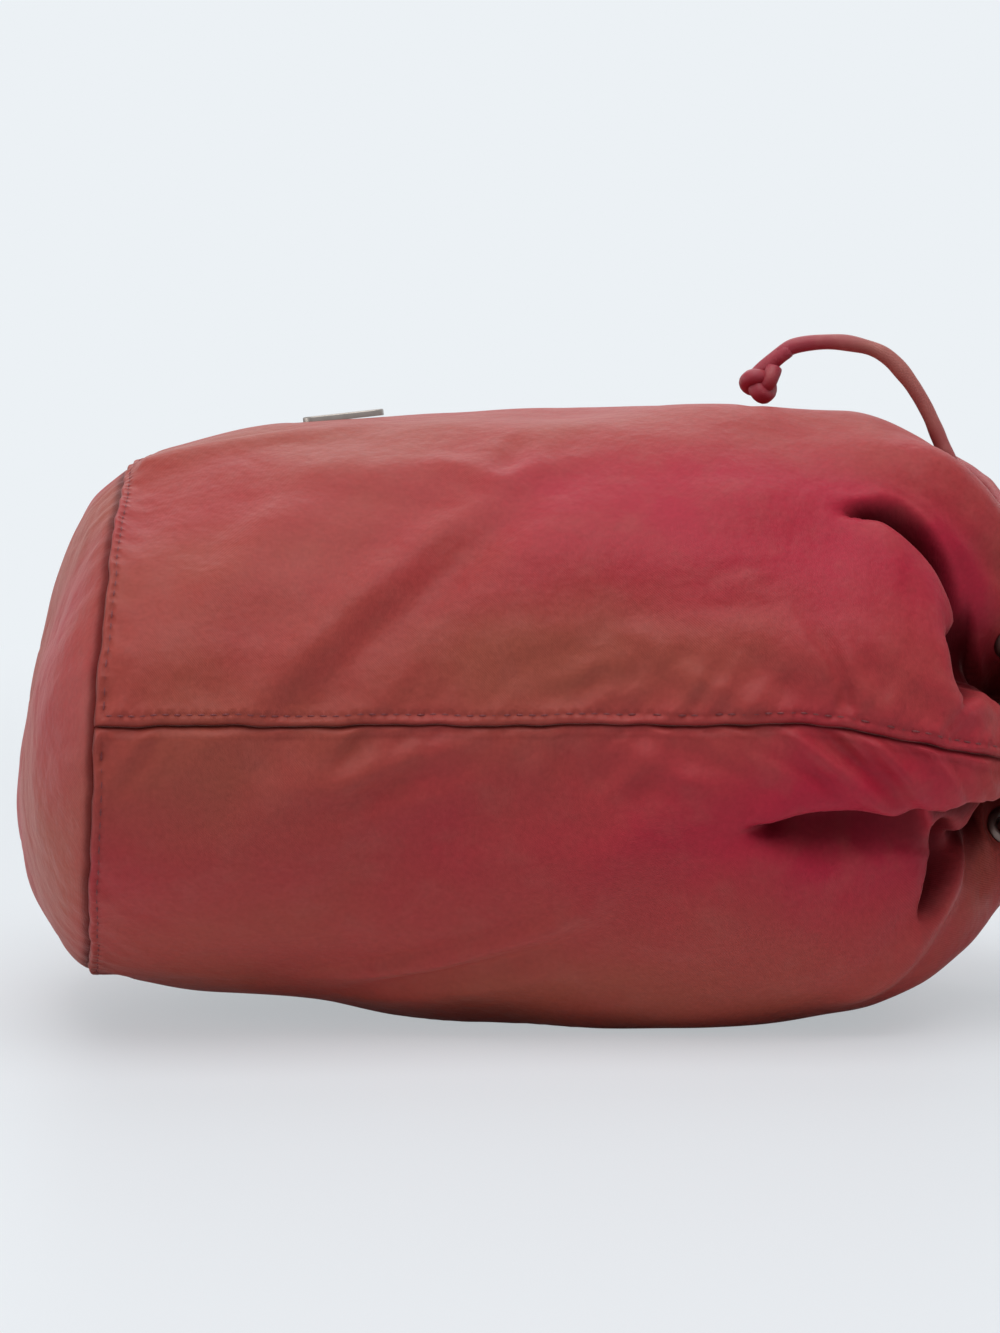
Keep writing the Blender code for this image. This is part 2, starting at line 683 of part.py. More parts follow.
def make_plate(front_panel, metal):
    """Fix the plate to the front panel with two prongs through a backing plate."""
    point, normal, aside = cloth_frame(PLATE_RUN, PLATE_TURN)
    length_axis = aside.cross(normal).normalized()
    place = Matrix((length_axis, normal.cross(length_axis), normal)).transposed().to_4x4()
    place.translation = point
    sag = PLATE_WIDTH ** 2 / (8.0 * BELLY_TOP) + PLATE_LENGTH ** 2 / (8.0 * CLOTH_RUN)
    backing_top = -FABRIC - 1.5 * GAP - sag
    backing_low = backing_top - BACKING_THICKNESS
    top = GAP + PLATE_THICKNESS
    outline = rounded_outline(PLATE_LENGTH, PLATE_WIDTH, PLATE_CORNER)
    plate = finish_mesh("front_plate", slab_mesh(outline, GAP, top), metal)
    outline = rounded_outline(PLATE_LENGTH - 2.0 * BACKING_MARGIN,
                              PLATE_WIDTH - 2.0 * BACKING_MARGIN, PLATE_CORNER)
    backing = finish_mesh("plate_backing", slab_mesh(outline, backing_low, backing_top), metal)
    plate.matrix_world = place
    backing.matrix_world = place
    prongs = prong_bodies("prong_guide", PRONG_RADIUS, backing_low - PRONG_RADIUS,
                          GAP + PLATE_THICKNESS / 2.0, place, metal)
    holes = prong_bodies("prong_hole_guide", PRONG_RADIUS + GAP, backing_low - 2.0 * GAP,
                         2.0 * GAP + WELT_RISE, place, metal)
    combine(plate, prongs, "UNION")
    combine(backing, holes, "DIFFERENCE")
    combine(front_panel, holes, "DIFFERENCE")


def main():
    """Model the pouch."""
    clear_scene()
    front_cloth = make_material("front_cloth", (0.30, 0.055, 0.050), 0.5)
    back_cloth = make_material("back_cloth", (0.21, 0.045, 0.042), 0.5)
    base_cloth = make_material("base_cloth", (0.34, 0.085, 0.070), 0.5)
    metal = make_material("eyelet_metal", (0.28, 0.25, 0.24), 0.35, 1.0)
    plate_metal = make_material("plate_metal", (0.42, 0.38, 0.36), 0.4, 1.0)
    cord_cloth = make_material("cord_cloth", (0.42, 0.12, 0.10), 0.6)
    front_panel = make_panel("front_panel", 0.0, math.pi, True, front_cloth)
    make_panel("back_panel", math.pi, 2.0 * math.pi, False, back_cloth)
    make_base(base_cloth)
    make_eyelets(metal)
    make_plate(front_panel, plate_metal)
    make_drawstring(cord_cloth)
    make_knot("knot_near", NEAR_KNOT, cord_cloth)
    make_knot("knot_far", FAR_KNOT, cord_cloth)


main()
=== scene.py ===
"""Dressed model of a kinchaku drawstring pouch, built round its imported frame.

The pouch lies filled on its back panel. Its cloth is a nylon twill woven from rust and crimson
yarns, sewn with one row of topstitches beside each seam. A place on the cloth is given by its
run, measured along the cloth from the base seam, and by its turn round the tube, counted from
the side seam at -Y over the top. Lengths are metres, in the frame's own axes.
"""
import logging
import math
from collections.abc import Callable
from dataclasses import dataclass, field
from enum import Enum

import bmesh
import bpy
import numpy as np
from mathutils import Matrix, Vector


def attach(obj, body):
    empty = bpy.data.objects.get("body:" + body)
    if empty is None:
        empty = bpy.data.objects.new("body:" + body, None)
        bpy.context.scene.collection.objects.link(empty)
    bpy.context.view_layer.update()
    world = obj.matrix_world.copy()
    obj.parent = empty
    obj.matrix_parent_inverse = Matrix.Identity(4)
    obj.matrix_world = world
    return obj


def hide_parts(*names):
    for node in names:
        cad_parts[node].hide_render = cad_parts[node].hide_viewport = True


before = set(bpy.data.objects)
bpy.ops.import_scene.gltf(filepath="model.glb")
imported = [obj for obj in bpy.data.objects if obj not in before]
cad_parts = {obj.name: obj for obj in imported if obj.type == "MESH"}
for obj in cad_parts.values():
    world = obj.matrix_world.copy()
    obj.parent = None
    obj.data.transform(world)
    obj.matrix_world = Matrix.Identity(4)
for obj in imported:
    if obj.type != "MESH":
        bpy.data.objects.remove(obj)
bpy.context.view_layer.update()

LOG = logging.getLogger("pouch")
MM = 0.001
STITCH_LINE = 2.4 * MM
STITCH_PITCH = 2.7 * MM
Points = np.ndarray


def linear(code: str) -> tuple[float, float, float, float]:
    """Turn an sRGB hex colour into linear light.

    Args:
        code: six hex digits after a hash sign.

    Returns:
        Red, green, blue and an alpha of one.
    """
    parts = [int(code[i:i + 2], 16) / 255.0 for i in (1, 3, 5)]
    light = [p / 12.92 if p <= 0.04045 else ((p + 0.055) / 1.055) ** 2.4 for p in parts]
    return light[0], light[1], light[2], 1.0


def ease(value: Points) -> Points:
    """Ease smoothly from 0 to 1."""
    value = np.clip(value, 0.0, 1.0)
    return value * value * (3.0 - 2.0 * value)


def bell(value: Points) -> Points:
    """Fall smoothly from 1 at zero to nothing beyond about two."""
    return np.exp(-value * value)


def unit(vectors: Points) -> Points:
    """Give each row of an array the length of one."""
    return vectors / np.maximum(np.linalg.norm(vectors, axis=-1, keepdims=True), 1e-12)


def turn_from(turn: Points, middle: float) -> Points:
    """Give turns as offsets from a middle one, in radians, the short way round."""
    return np.remainder(turn - middle + math.pi, math.tau) - math.pi


def seam_offset(turn: Points) -> Points:
    """Give turns as offsets from the nearer side seam, in radians."""
    return np.remainder(turn + math.pi / 2.0, math.pi) - math.pi / 2.0


def drift(points: Points, size: float, seed: int, stretch: tuple[float, float, float] = (1, 1, 1)) -> Points:
    """Read a smooth irregular field, made of plane waves, at points in space.

    Args:
        points: places, one to a row.
        size: usual distance between two rises.
        seed: number that picks the waves.
        stretch: how much longer the rises are along each axis.

    Returns:
        One value to a point, mostly between -2 and 2.
    """
    chance = np.random.default_rng(seed)
    total = np.zeros(len(points))
    count = 16
    for _ in range(count):
        heading = unit(chance.normal(size=3)) / np.array(stretch)
        length = size * chance.uniform(0.7, 1.6)
        total += np.sin(points @ heading * math.tau / length + chance.uniform(0.0, math.tau))
    return total * math.sqrt(2.0 / count)


@dataclass(frozen=True)
class Curve:
    """Smooth curve through (place, value) points that doesn't overshoot them."""

    places: tuple[tuple[float, float], ...]

    def read(self, share: Points) -> Points:
        """Give the curve's value at each share.

        Args:
            share: places along the curve.

        Returns:
            The values there, with the last slope kept beyond the end.
        """
        x, y = np.array(self.places).T
        rise = np.diff(y) / np.diff(x)
        product = rise[:-1] * rise[1:]
        total = np.where(product > 0.0, rise[:-1] + rise[1:], 1.0)
        inner = np.where(product > 0.0, 2.0 * product / total, 0.0)
        slope = np.concatenate(([rise[0]], inner, [rise[-1]]))
        i = np.clip(np.searchsorted(x, share, side="left") - 1, 0, len(x) - 2)
        step = x[i + 1] - x[i]
        t = np.clip((share - x[i]) / step, 0.0, 1.0)
        value = (y[i] * (1 + 2 * t) * (1 - t) ** 2 + slope[i] * step * t * (1 - t) ** 2
                 + y[i + 1] * t * t * (3 - 2 * t) + slope[i + 1] * step * t * t * (t - 1))
        return value + np.maximum(0.0, share - x[-1]) * rise[-1]


@dataclass(frozen=True)
class Valley:
    """One valley of the gathered neck, with its turns in degrees."""

    turn: float
    start: float
    lead: float
    trail: float


@dataclass(frozen=True)
class ClothForm:
    """Filled shape of the pouch's cloth, as the frame's solids have it."""

    fabric: float = 1.1 * MM
    gap: float = 0.3 * MM
    base_x: float = -106.2 * MM
    cord_x: float = 104.0 * MM
    cloth_run: float = 223.0 * MM
    ruffle_length: float = 22.0 * MM
    ruffle_run: float = 25.0 * MM
    axis_height: float = 66.5 * MM
    base_half_width: float = 85.5 * MM
    base_half_height: float = 58.4 * MM
    belly_top: float = 73.2 * MM
    belly_under: float = 77.5 * MM
    belly_side: float = 75.0 * MM
    neck_top: float = 46.5 * MM
    neck_under: float = 40.0 * MM
    neck_side: float = 46.0 * MM
    mouth_flare: float = 2.0 * MM
    sag_power: float = 2.35
    floor_blend: float = 3.0 * MM
    base_lean: float = 4.7 * MM
    base_bow: float = 3.3 * MM
    body_turn: float = 5.0
    neck_turn: float = -4.0
    valley_depth: float = 27.5 * MM
    valley_back: float = 9.0 * MM
    valley_opening: float = 0.18
    half_lobe: float = math.pi / 6.0
    bore_radius: float = 2.75 * MM
    eyelet_wall: float = 0.4 * MM
    flange_radius: float = 4.7 * MM
    patch_margin: float = 0.8 * MM
    flank_turn: float = 12.5
    valleys: tuple[Valley, ...] = (
        Valley(30, 0.79, 13, -8), Valley(90, 0.77, 2, 0), Valley(150, 0.73, -6, -2),
        Valley(210, 0.80, 4, 2), Valley(270, 0.76, -3, 0), Valley(330, 0.67, 10, 1))
    length_curve: Curve = Curve((
        (0.0, 0.0), (0.054, 0.052), (0.211, 0.218), (0.413, 0.431), (0.619, 0.649),
        (0.762, 0.796), (0.843, 0.882), (0.901, 0.934), (0.951, 0.972), (1.0, 1.0)))
    rise_curve: Curve = Curve((
        (0.0, 0.0), (0.054, 0.19), (0.211, 0.64), (0.413, 0.89), (0.619, 1.0), (1.0, 1.0)))
    under_rise_curve: Curve = Curve((
        (0.0, 0.0), (0.054, 0.14), (0.211, 0.36), (0.413, 0.65), (0.53, 0.89), (0.619, 1.0),
        (1.0, 1.0)))
    taper_curve: Curve = Curve((
        (0.0, 0.0), (0.12, 0.10), (0.30, 0.55), (0.45, 0.88), (0.60, 1.0), (1.0, 1.0)))
    drop_curve: Curve = Curve((
        (0.0, 0.0), (0.619, 0.0), (0.762, 0.06), (0.843, 0.20), (0.901, 0.44), (0.951, 0.74),
        (1.0, 1.0)))
    under_drop_curve: Curve = Curve((
        (0.0, 0.0), (0.619, 0.0), (0.762, 0.12), (0.843, 0.34), (0.901, 0.60), (0.951, 0.84),
        (1.0, 1.0)))

    def section(self, share: Points, angle: Points) -> Points:
        """Give the ridges' distance from the axis.

        Args:
            share: run as a share of the run to the cord.
            angle: angle in the section, in radians.

        Returns:
            The distance at each place.
        """
        flare = self.mouth_flare * ease((share - 1.0) * self.cloth_run / self.ruffle_run)
        share = np.minimum(share, 1.0)
        drop = self.drop_curve.read(share)
        under_drop = self.under_drop_curve.read(share)
        under_rise = self.under_rise_curve.read(share)
        side = self.base_half_width + flare + (self.neck_side - self.belly_side) * drop
        side += (self.belly_side - self.base_half_width) * self.taper_curve.read(share)
        above = self.base_half_height + (self.belly_top - self.base_half_height) * self.rise_curve.read(share)
        above += (self.neck_top - self.belly_top) * drop + flare
        below = self.base_half_height + (self.belly_under - self.base_half_height) * under_rise
        below += (self.neck_under - self.belly_under) * under_drop + flare
        upper = np.sin(angle) >= 0.0
        upright = np.where(upper, above, below)
        power = np.where(upper, 2.0, 2.0 + (self.sag_power - 2.0) * under_rise * (1.0 - under_drop))
        across = np.abs(np.cos(angle)) / side
        up = np.abs(np.sin(angle)) / upright
        return (across ** power + up ** power) ** (-1.0 / power)

    def pleat(self, share: Points, turn: Points) -> tuple[Points, Points, Points]:
        """Give the pleats' depth, setting back and turning.

        Args:
            share: run as a share of the run to the cord.
            turn: turn round the tube, in radians.

        Returns:
            Depth and setting back in metres, and turning in radians.
        """
        depth, back, shift = (np.zeros(len(turn)) for _ in range(3))
        for valley in self.valleys:
            off = turn_from(turn, math.radians(valley.turn))
            near = np.abs(off) <= self.half_lobe
            reach = (share - valley.start) / (1.0 - valley.start)
            bump = np.where(near, np.cos(0.5 * math.pi * off / self.half_lobe) ** 2, 0.0)
            lead, trail = math.radians(valley.lead), math.radians(valley.trail)
            early = ease((share - valley.start + 0.25) / 0.25)
            shift += (lead + (trail - lead) * ease(reach)) * bump * early
            reach = np.clip(reach, 0.0, 1.0)
            beyond = np.maximum(0.0, share - 1.0) * self.cloth_run / self.ruffle_run
            fall = 1.25 * reach * reach / (reach + 0.25) * (1.0 - self.valley_opening * ease(beyond))
            depth += self.valley_depth * fall * bump ** (2.6 - 1.1 * ease(reach))
            back += self.valley_back * fall * bump
        return depth, back, shift

    def point(self, run: Points, turn: Points) -> Points:
        """Give points of the cloth's smooth outer face.

        Args:
            run: distance along the cloth from the base seam.
            turn: turn round the tube, in radians.

        Returns:
            One point to a row.
        """
        share = run / self.cloth_run
        depth, back, shift = self.pleat(share, turn)
        twist = self.body_turn + (self.neck_turn - self.body_turn) * ease((share - 0.7) / 0.3)
        angle = turn + np.radians(twist) + shift
        radius = self.section(share, angle) - depth
        along = self.base_x + (self.cord_x - self.base_x) * self.length_curve.read(share)
        beyond = self.cord_x + self.ruffle_length * (run - self.cloth_run) / self.ruffle_run
        x = np.where(share <= 1.0, along, beyond) - back
        fade = np.maximum(0.0, 1.0 - share / 0.5) ** 2
        x += fade * (self.base_lean * np.sin(angle) + self.base_bow * np.cos(angle) ** 2)
        z = radius * np.sin(angle) + self.axis_height
        soft = (np.clip(z, -self.floor_blend, None) + self.floor_blend) ** 2 / (4.0 * self.floor_blend)
        return np.stack((x, -radius * np.cos(angle), np.where(z < self.floor_blend, soft, z)), axis=-1)

    def axes(self, run: Points, turn: Points) -> tuple[Points, Points, Points]:
        """Give the smooth outer face's directions.

        Args:
            run: distance along the cloth from the base seam.
            turn: turn round the tube, in radians.

        Returns:
            Outward normals, directions towards the mouth and directions of increasing turn.
        """
        step, swing = 0.4 * MM, math.radians(0.3)
        along = self.point(run + step, turn) - self.point(np.maximum(0.0, run - step), turn)
        around = self.point(run, turn + swing) - self.point(run, turn - swing)
        return unit(np.cross(along, around)), unit(along), unit(around)

    def flanks(self) -> list[float]:
        """Give the turns of the twelve eyelets, in radians."""
        return [math.radians(valley.turn + side * self.flank_turn)
                for valley in self.valleys for side in (-1.0, 1.0)]

    def seat(self, turn: float) -> tuple[Vector, Vector]:
        """Find the flat seat of one eyelet.

        Args:
            turn: the eyelet's turn, in radians.

        Returns:
            The seat's centre and its outward normal.
        """
        half = self.flange_radius + self.patch_margin
        swing = math.radians(1.0)
        run = np.full(2, self.cloth_run)
        ends = self.point(run, np.array([turn - swing, turn + swing]))
        reach = half * 2.0 * swing / float(np.linalg.norm(ends[1] - ends[0]))
        runs = np.array([-half, -half, half, half]) + self.cloth_run
        turns = np.array([-reach, reach, reach, -reach]) + turn
        corners = [Vector(corner) for corner in self.point(runs, turns)]
        normal = (corners[2] - corners[0]).cross(corners[1] - corners[3]).normalized()
        return sum(corners, Vector()) / 4.0, normal


@dataclass(frozen=True)
class Crease:
    """One soft fold of the cloth, long in its heading and rounded across it.

    Run, length and width are in millimetres, turn and heading in degrees, and the height is in
    millimetres, below zero for a trough. A lean above zero makes the side of higher turn steeper.
    """

    run: float
    turn: float
    heading: float
    length: float
    width: float
    height: float
    lean: float = 0.0

    def read(self, run: Points, turn: Points, radius: float) -> Points:
        """Give the fold's height at places on the cloth.

        Args:
            run: distance from the base seam.
            turn: turn round the tube, in radians.
            radius: distance that turns a turn into an arc.

        Returns:
            The height at each place, in metres.
        """
        heading = math.radians(self.heading)
        ahead = run - self.run * MM
        aside = turn_from(turn, math.radians(self.turn)) * radius
        along = (ahead * math.cos(heading) + aside * math.sin(heading)) / (0.5 * self.length * MM)
        across = (aside * math.cos(heading) - ahead * math.sin(heading)) / (self.width * MM)
        across = across * (1.0 + self.lean * np.tanh(across))
        flank = bell(across) - 0.35 * bell((np.abs(across) - 2.0) / 1.1)
        return self.height * MM * flank * bell(along ** 2)


@dataclass(frozen=True)
class Tuck:
    """One deep fold at the neck, which the cloth on one side partly covers.

    The path is a line of (run in millimetres, turn in degrees), the other sizes are in
    millimetres. An overhang above zero moves the side to the left of the path over the fold, one
    below zero the side to the right. Dark says how much painted shade, in the deep tone, the fold
    puts on the cloth, from 0 to 1, and the radius is what turns a turn into an arc there.
    """

    path: tuple[tuple[float, float], ...]
    depth: float
    width: float
    lip: float
    overhang: float
    radius: float = 60.0
    dark: float = 1.0

    def read(self, run: Points, turn: Points) -> tuple[Points, Points, Points, Points]:
        """Give the fold's moves at places on the cloth.

        Args:
            run: distance from the base seam.
            turn: turn round the tube, in radians.

        Returns:
            Moves along the normal, towards the mouth and round the cloth, and the painted shade that
            the fold puts on each place, from 0 to 1.
        """
        spots = np.array([(r, math.radians(t) * self.radius) for r, t in self.path]) * MM
        for _ in range(2):
            cut = [part for a, b in zip(spots, spots[1:]) for part in (0.75 * a + 0.25 * b, 0.25 * a + 0.75 * b)]
            spots = np.array([spots[0], *cut[1:-1], spots[-1]])
        first = math.radians(self.path[0][1])
        here = np.stack((run, (turn_from(turn, first) + first) * self.radius * MM), axis=-1)
        lengths = np.linalg.norm(np.diff(spots, axis=0), axis=1)
        reached = np.concatenate(([0.0], np.cumsum(lengths))) / lengths.sum()
        nearest = np.full(len(run), 1.0)
        share, side, away = np.zeros(len(run)), np.ones(len(run)), np.zeros((len(run), 2))
        for k, (start, end) in enumerate(zip(spots, spots[1:])):
            line = end - start
            part = np.clip((here - start) @ line / (line @ line), 0.0, 1.0)
            gap = here - (start + part[:, None] * line)
            distance = np.linalg.norm(gap, axis=1)
            closer = distance < nearest
            nearest = np.where(closer, distance, nearest)
            share = np.where(closer, reached[k] + part * (reached[k + 1] - reached[k]), share)
            side = np.where(closer, np.sign(line[0] * gap[:, 1] - line[1] * gap[:, 0]), side)
            away = np.where(closer[:, None], gap / np.maximum(distance, 1e-6)[:, None], away)
        width = self.width * MM * (0.4 + 0.6 * ease(share / 0.45))
        hold = ease(0.15 + share / 0.2) * ease(0.1 + (1.0 - share) / 0.15) * ease((14.0 * MM - nearest) / (6.0 * MM))
        over = side * np.sign(self.overhang) > 0.0
        away_share = nearest / (width * np.where(over, 0.6, 1.5))
        # The shade is painted shade for the cloth's colour, darkest along the fold's path.
        trough, shade = bell(away_share) * hold, self.dark * bell((0.8 * away_share) ** 2) * hold
        raised = bell((nearest - 2.0 * width) / (1.3 * width)) * hold
        covering = over * bell((nearest - 1.2 * width) / (1.3 * width)) * hold
        rise = (self.lip * raised * (0.6 + 0.4 * (covering > 0.0)) - self.depth * trough) * MM
        slide = -away * (abs(self.overhang) * MM * covering)[:, None]
        return rise, slide[:, 0], slide[:, 1], shade


@dataclass(frozen=True)
class HuePatch:
    """One soft patch where the shot cloth shows more of one yarn.

    Run and its reach are in millimetres, turn and its reach in degrees. The amount is above zero
    for crimson and below zero for rust.
    """

    run: float
    turn: float
    run_reach: float
    turn_reach: float
    amount: float

    def read(self, run: Points, turn: Points) -> Points:
        """Give the patch's strength at places on the cloth."""
        off = np.degrees(turn_from(turn, math.radians(self.turn)))
        return self.amount * bell((run / MM - self.run) / self.run_reach) * bell(off / self.turn_reach)


class Edge(Enum):
    """How a panel's long edges are sewn."""

    WELTED = "turned under and topstitched"
    TUCKED = "sewn under the welt"


@dataclass(frozen=True)
class Panel:
    """One curved panel, between the turns of its two long edges."""

    first: float
    last: float
    edge: Edge

    def inward(self, turn: Points) -> Points:
        """Give how far each turn lies from the nearer long edge."""
        return np.minimum(turn - self.first, self.last - turn)


FRONT = Panel(0.0, math.pi, Edge.WELTED)
BACK = Panel(math.pi, math.tau, Edge.TUCKED)


@dataclass(frozen=True)
class ClothSkin:
    """Cloth with its seams, puckers, folds and flattened eyelet seats."""

    form: ClothForm = ClothForm()
    welt_places: tuple[float, ...] = (0.0, 0.25, 0.6, 1.1, 1.7, 2.1, 2.4, 2.75, 3.6, 5.2)
    welt_heights: tuple[float, ...] = (-0.95, -0.25, 0.22, 0.42, 0.42, 0.30, 0.16, 0.26, 0.12, 0.0)
    tuck_places: tuple[float, ...] = (-1.2, 0.0, 0.25, 0.6, 1.2, 2.6)
    tuck_heights: tuple[float, ...] = (-1.5, -0.85, -0.55, -0.26, -0.08, 0.0)
    hem_width: float = 9.0 * MM
    hem_line: float = 8.0 * MM
    slack: float = 0.85 * MM
    slack_size: float = 62.0 * MM
    softness: float = 0.36 * MM
    soft_size: float = 23.0 * MM
    crinkle: float = 0.30 * MM
    crinkle_size: float = 34.0 * MM
    gather: float = 0.55 * MM
    creases: tuple[Crease, ...] = ()
    tucks: tuple[Tuck, ...] = ()

    def seam_sway(self, walked: Points) -> Points:
        """Give how far a seam strays from its line.

        Args:
            walked: distance walked along the seam.

        Returns:
            The sway at each place.
        """
        return (0.11 * np.sin(walked * 31.0 / self.form.belly_side + 0.6)
                + 0.08 * np.sin(walked * 53.0 / self.form.belly_side + 2.9)
                + 0.20 * np.sin(walked * 11.0 / self.form.belly_side + 4.0)) * MM

    def edge_height(self, distance: Points, edge: Edge) -> Points:
        """Give the height of a seam's profile.

        Args:
            distance: distance from the panel's edge.
            edge: how that edge is sewn.

        Returns:
            The height at each place.
        """
        if edge is Edge.WELTED:
            return np.interp(distance / MM, self.welt_places, self.welt_heights) * MM
        return np.interp(distance / MM, self.tuck_places, self.tuck_heights) * MM

    def puckers(self, run: Points, turn: Points) -> Points:
        """Give the pull of the seams' stitches on the cloth near them.

        Args:
            run: distance along the cloth from the base seam.
            turn: turn round the tube, in radians.

        Returns:
            The height at each place.
        """
        share = run / self.form.cloth_run
        aside = seam_offset(turn) * self.form.section(share, turn)
        turned = np.where(aside < 0.0, 1.7 * ease((share - 0.5) / 0.15), 0.0)
        slant = run - (0.85 - turned) * aside
        spread = np.stack((slant, 0.30 * aside, np.zeros(len(run))), axis=-1)
        waves = 0.55 * drift(spread, 8.0 * MM, 61) + 0.35 * drift(spread, 4.5 * MM, 62)
        size = 0.6 + 0.35 * np.sin(run * math.tau / (61.0 * MM) + 0.7) + 0.9 * ease((share - 0.3) / 0.4)
        near = bell(np.abs(aside) / (14.0 * MM)) * ease(np.abs(aside) / (np.where(aside > 0.0, 3.0, 1.4) * MM))
        side = np.where(aside > 0.0, 0.46, 0.72) * MM * waves * size * near * (1.0 - 0.7 * ease((share - 0.95) / 0.05))
        swing = turn + 0.9 * run / (75.0 * MM)
        ring = (0.5 * np.sin(53.0 * swing + 0.4) + 0.4 * np.sin(37.0 * turn + 2.0)
                + 0.3 * np.sin(83.0 * turn + 5.0))
        base = 0.30 * MM * ring * bell((run - 3.0 * MM) / (8.0 * MM))
        return side + base

    def gathers(self, run: Points, turn: Points) -> Points:
        """Give the small folds that the drawn cord makes along the neck.

        Args:
            run: distance along the cloth from the base seam.
            turn: turn round the tube, in radians.

        Returns:
            The height at each place.
        """
        share = run / self.form.cloth_run
        grow = ease((share - 0.74) / 0.26)
        sway = 2.2 * np.sin(3.0 * turn + 9.0 * share) + 5.0 * share
        lines = (0.50 * np.sin(23.0 * turn + sway) + 0.40 * np.sin(37.0 * turn - 1.3 * sway + 1.0)
                 + 0.25 * np.sin(58.0 * turn + 0.7 * sway + 2.6))
        return self.gather * grow * lines

    def folds(self, run: Points, turn: Points, points: Points) -> Points:
        """Give the slack, crinkles and soft folds of the filled cloth.

        Args:
            run: distance along the cloth from the base seam.
            turn: turn round the tube, in radians.
            points: the smooth form's points there.

        Returns:
            The height at each place.
        """
        share = run / self.form.cloth_run
        calm = 1.0 - 0.6 * ease((share - 0.9) / 0.1)
        slack = self.slack * drift(points, self.slack_size, 3)
        soft = self.softness * drift(points, self.soft_size, 5, (1.6, 1.0, 1.0))
        lines = drift(points, self.crinkle_size, 11, (1.6, 1.0, 1.0))
        crinkle = -self.crinkle * bell(lines / 0.28) * np.clip(drift(points, 48.0 * MM, 12), 0.0, 1.0)
        total = (slack + soft + crinkle) * calm
        middle = self.form.belly_side
        for crease in self.creases:
            total = total + crease.read(run, turn, middle)
        return total

    def surface(self, run: Points, turn: Points, panel: Panel) -> tuple[Points, Points]:
        """Give finished points of a panel's outer face.

        Args:
            run: distance along the cloth from the base seam.
            turn: turn round the tube, in radians.
            panel: the panel that the places are on.

        Returns:
            The points, and the smooth form's normals there.
        """
        form = self.form
        flat = form.point(run, turn)
        normal, along, around = form.axes(run, turn)
        radius = form.section(run / form.cloth_run, turn)
        sway = self.seam_sway(run) * bell(seam_offset(turn) * radius / (7.0 * MM)) * ease(run / (6.0 * MM))
        flat = flat + around * sway[:, None]
        flat[:, 0] += self.seam_sway(turn * form.belly_side) * bell(run / (7.0 * MM))
        from_edge = panel.inward(turn) * radius
        side = self.edge_height(from_edge, panel.edge)
        base = self.edge_height(run, Edge.WELTED)
        seam = np.maximum(np.maximum(side, base), 0.0) + np.minimum(np.minimum(side, base), 0.0)
        to_mouth = form.cloth_run + form.ruffle_run - run
        hem = 0.35 * MM * ease((self.hem_width + 0.5 * MM - to_mouth) / (1.0 * MM))
        hem = hem - 0.9 * MM * bell(to_mouth / (0.45 * MM)) - 0.3 * MM * bell((to_mouth - self.hem_line) / (0.5 * MM))
        open_cloth = ease(np.minimum(run, from_edge) / (3.0 * MM))
        rise = seam + hem + self.puckers(run, turn) + self.gathers(run, turn)
        rise = rise + self.folds(run, turn, flat) * (0.3 + 0.7 * open_cloth) * ease(run / (8.0 * MM))
        points = flat + normal * rise[:, None]
        for tuck in self.tucks:
            lift, ahead, aside, _ = tuck.read(run, turn)
            points = points + normal * lift[:, None] + along * ahead[:, None] + around * aside[:, None]
        for place in form.flanks():
            centre, axis = (np.array(vector) for vector in form.seat(place))
            away = points - centre
            height = away @ axis
            distance = np.linalg.norm(away - height[:, None] * axis, axis=1)
            hold = 1.0 - ease((distance - form.flange_radius - 0.3 * MM) / (2.2 * MM))
            hold = np.where(np.abs(height) < 7.0 * MM, hold, 0.0)
            points = points - (height * hold)[:, None] * axis
        points[:, 2] = np.maximum(points[:, 2], 0.1 * MM)
        return points, normal


def set_node(node: bpy.types.Node, settings: dict, links: dict) -> None:
    """Give a node its settings and links.

    Args:
        node: the node, in its tree.
        settings: values by socket name, socket number or property name.
        links: output sockets by the input's name or number.
    """
    for name, value in settings.items():
        if isinstance(name, int) or name in node.inputs:
            node.inputs[name].default_value = value
        else:
            setattr(node, name, value)
    for name, source in links.items():
        node.id_data.links.new(source, node.inputs[name])


def add_node(tree: bpy.types.NodeTree, kind: str, settings: dict | None = None,
             links: dict | None = None) -> bpy.types.Node:
    """Add one node with its settings and links.

    Args:
        tree: node tree that takes the node.
        kind: type name of the node.
        settings: values by socket name, socket number or property name.
        links: output sockets by the input's name or number.

    Returns:
        The new node.
    """
    node = tree.nodes.new(kind)
    set_node(node, settings or {}, links or {})
    return node


def blank_material(name: str) -> tuple[bpy.types.Material, bpy.types.Node, bpy.types.Node]:
    """Start a node material.

    Args:
        name: name of the real material.

    Returns:
        The material, its Principled shader and its texture coordinates.
    """
    material = bpy.data.materials.new(name)
    material.use_nodes = True
    tree = material.node_tree
    return material, tree.nodes["Principled BSDF"], add_node(tree, "ShaderNodeTexCoord")


def band_scale(width: float) -> float:
    """Give the Wave Texture's scale that draws diagonal bands of a real width."""
    return math.tau / (10.0 * width)


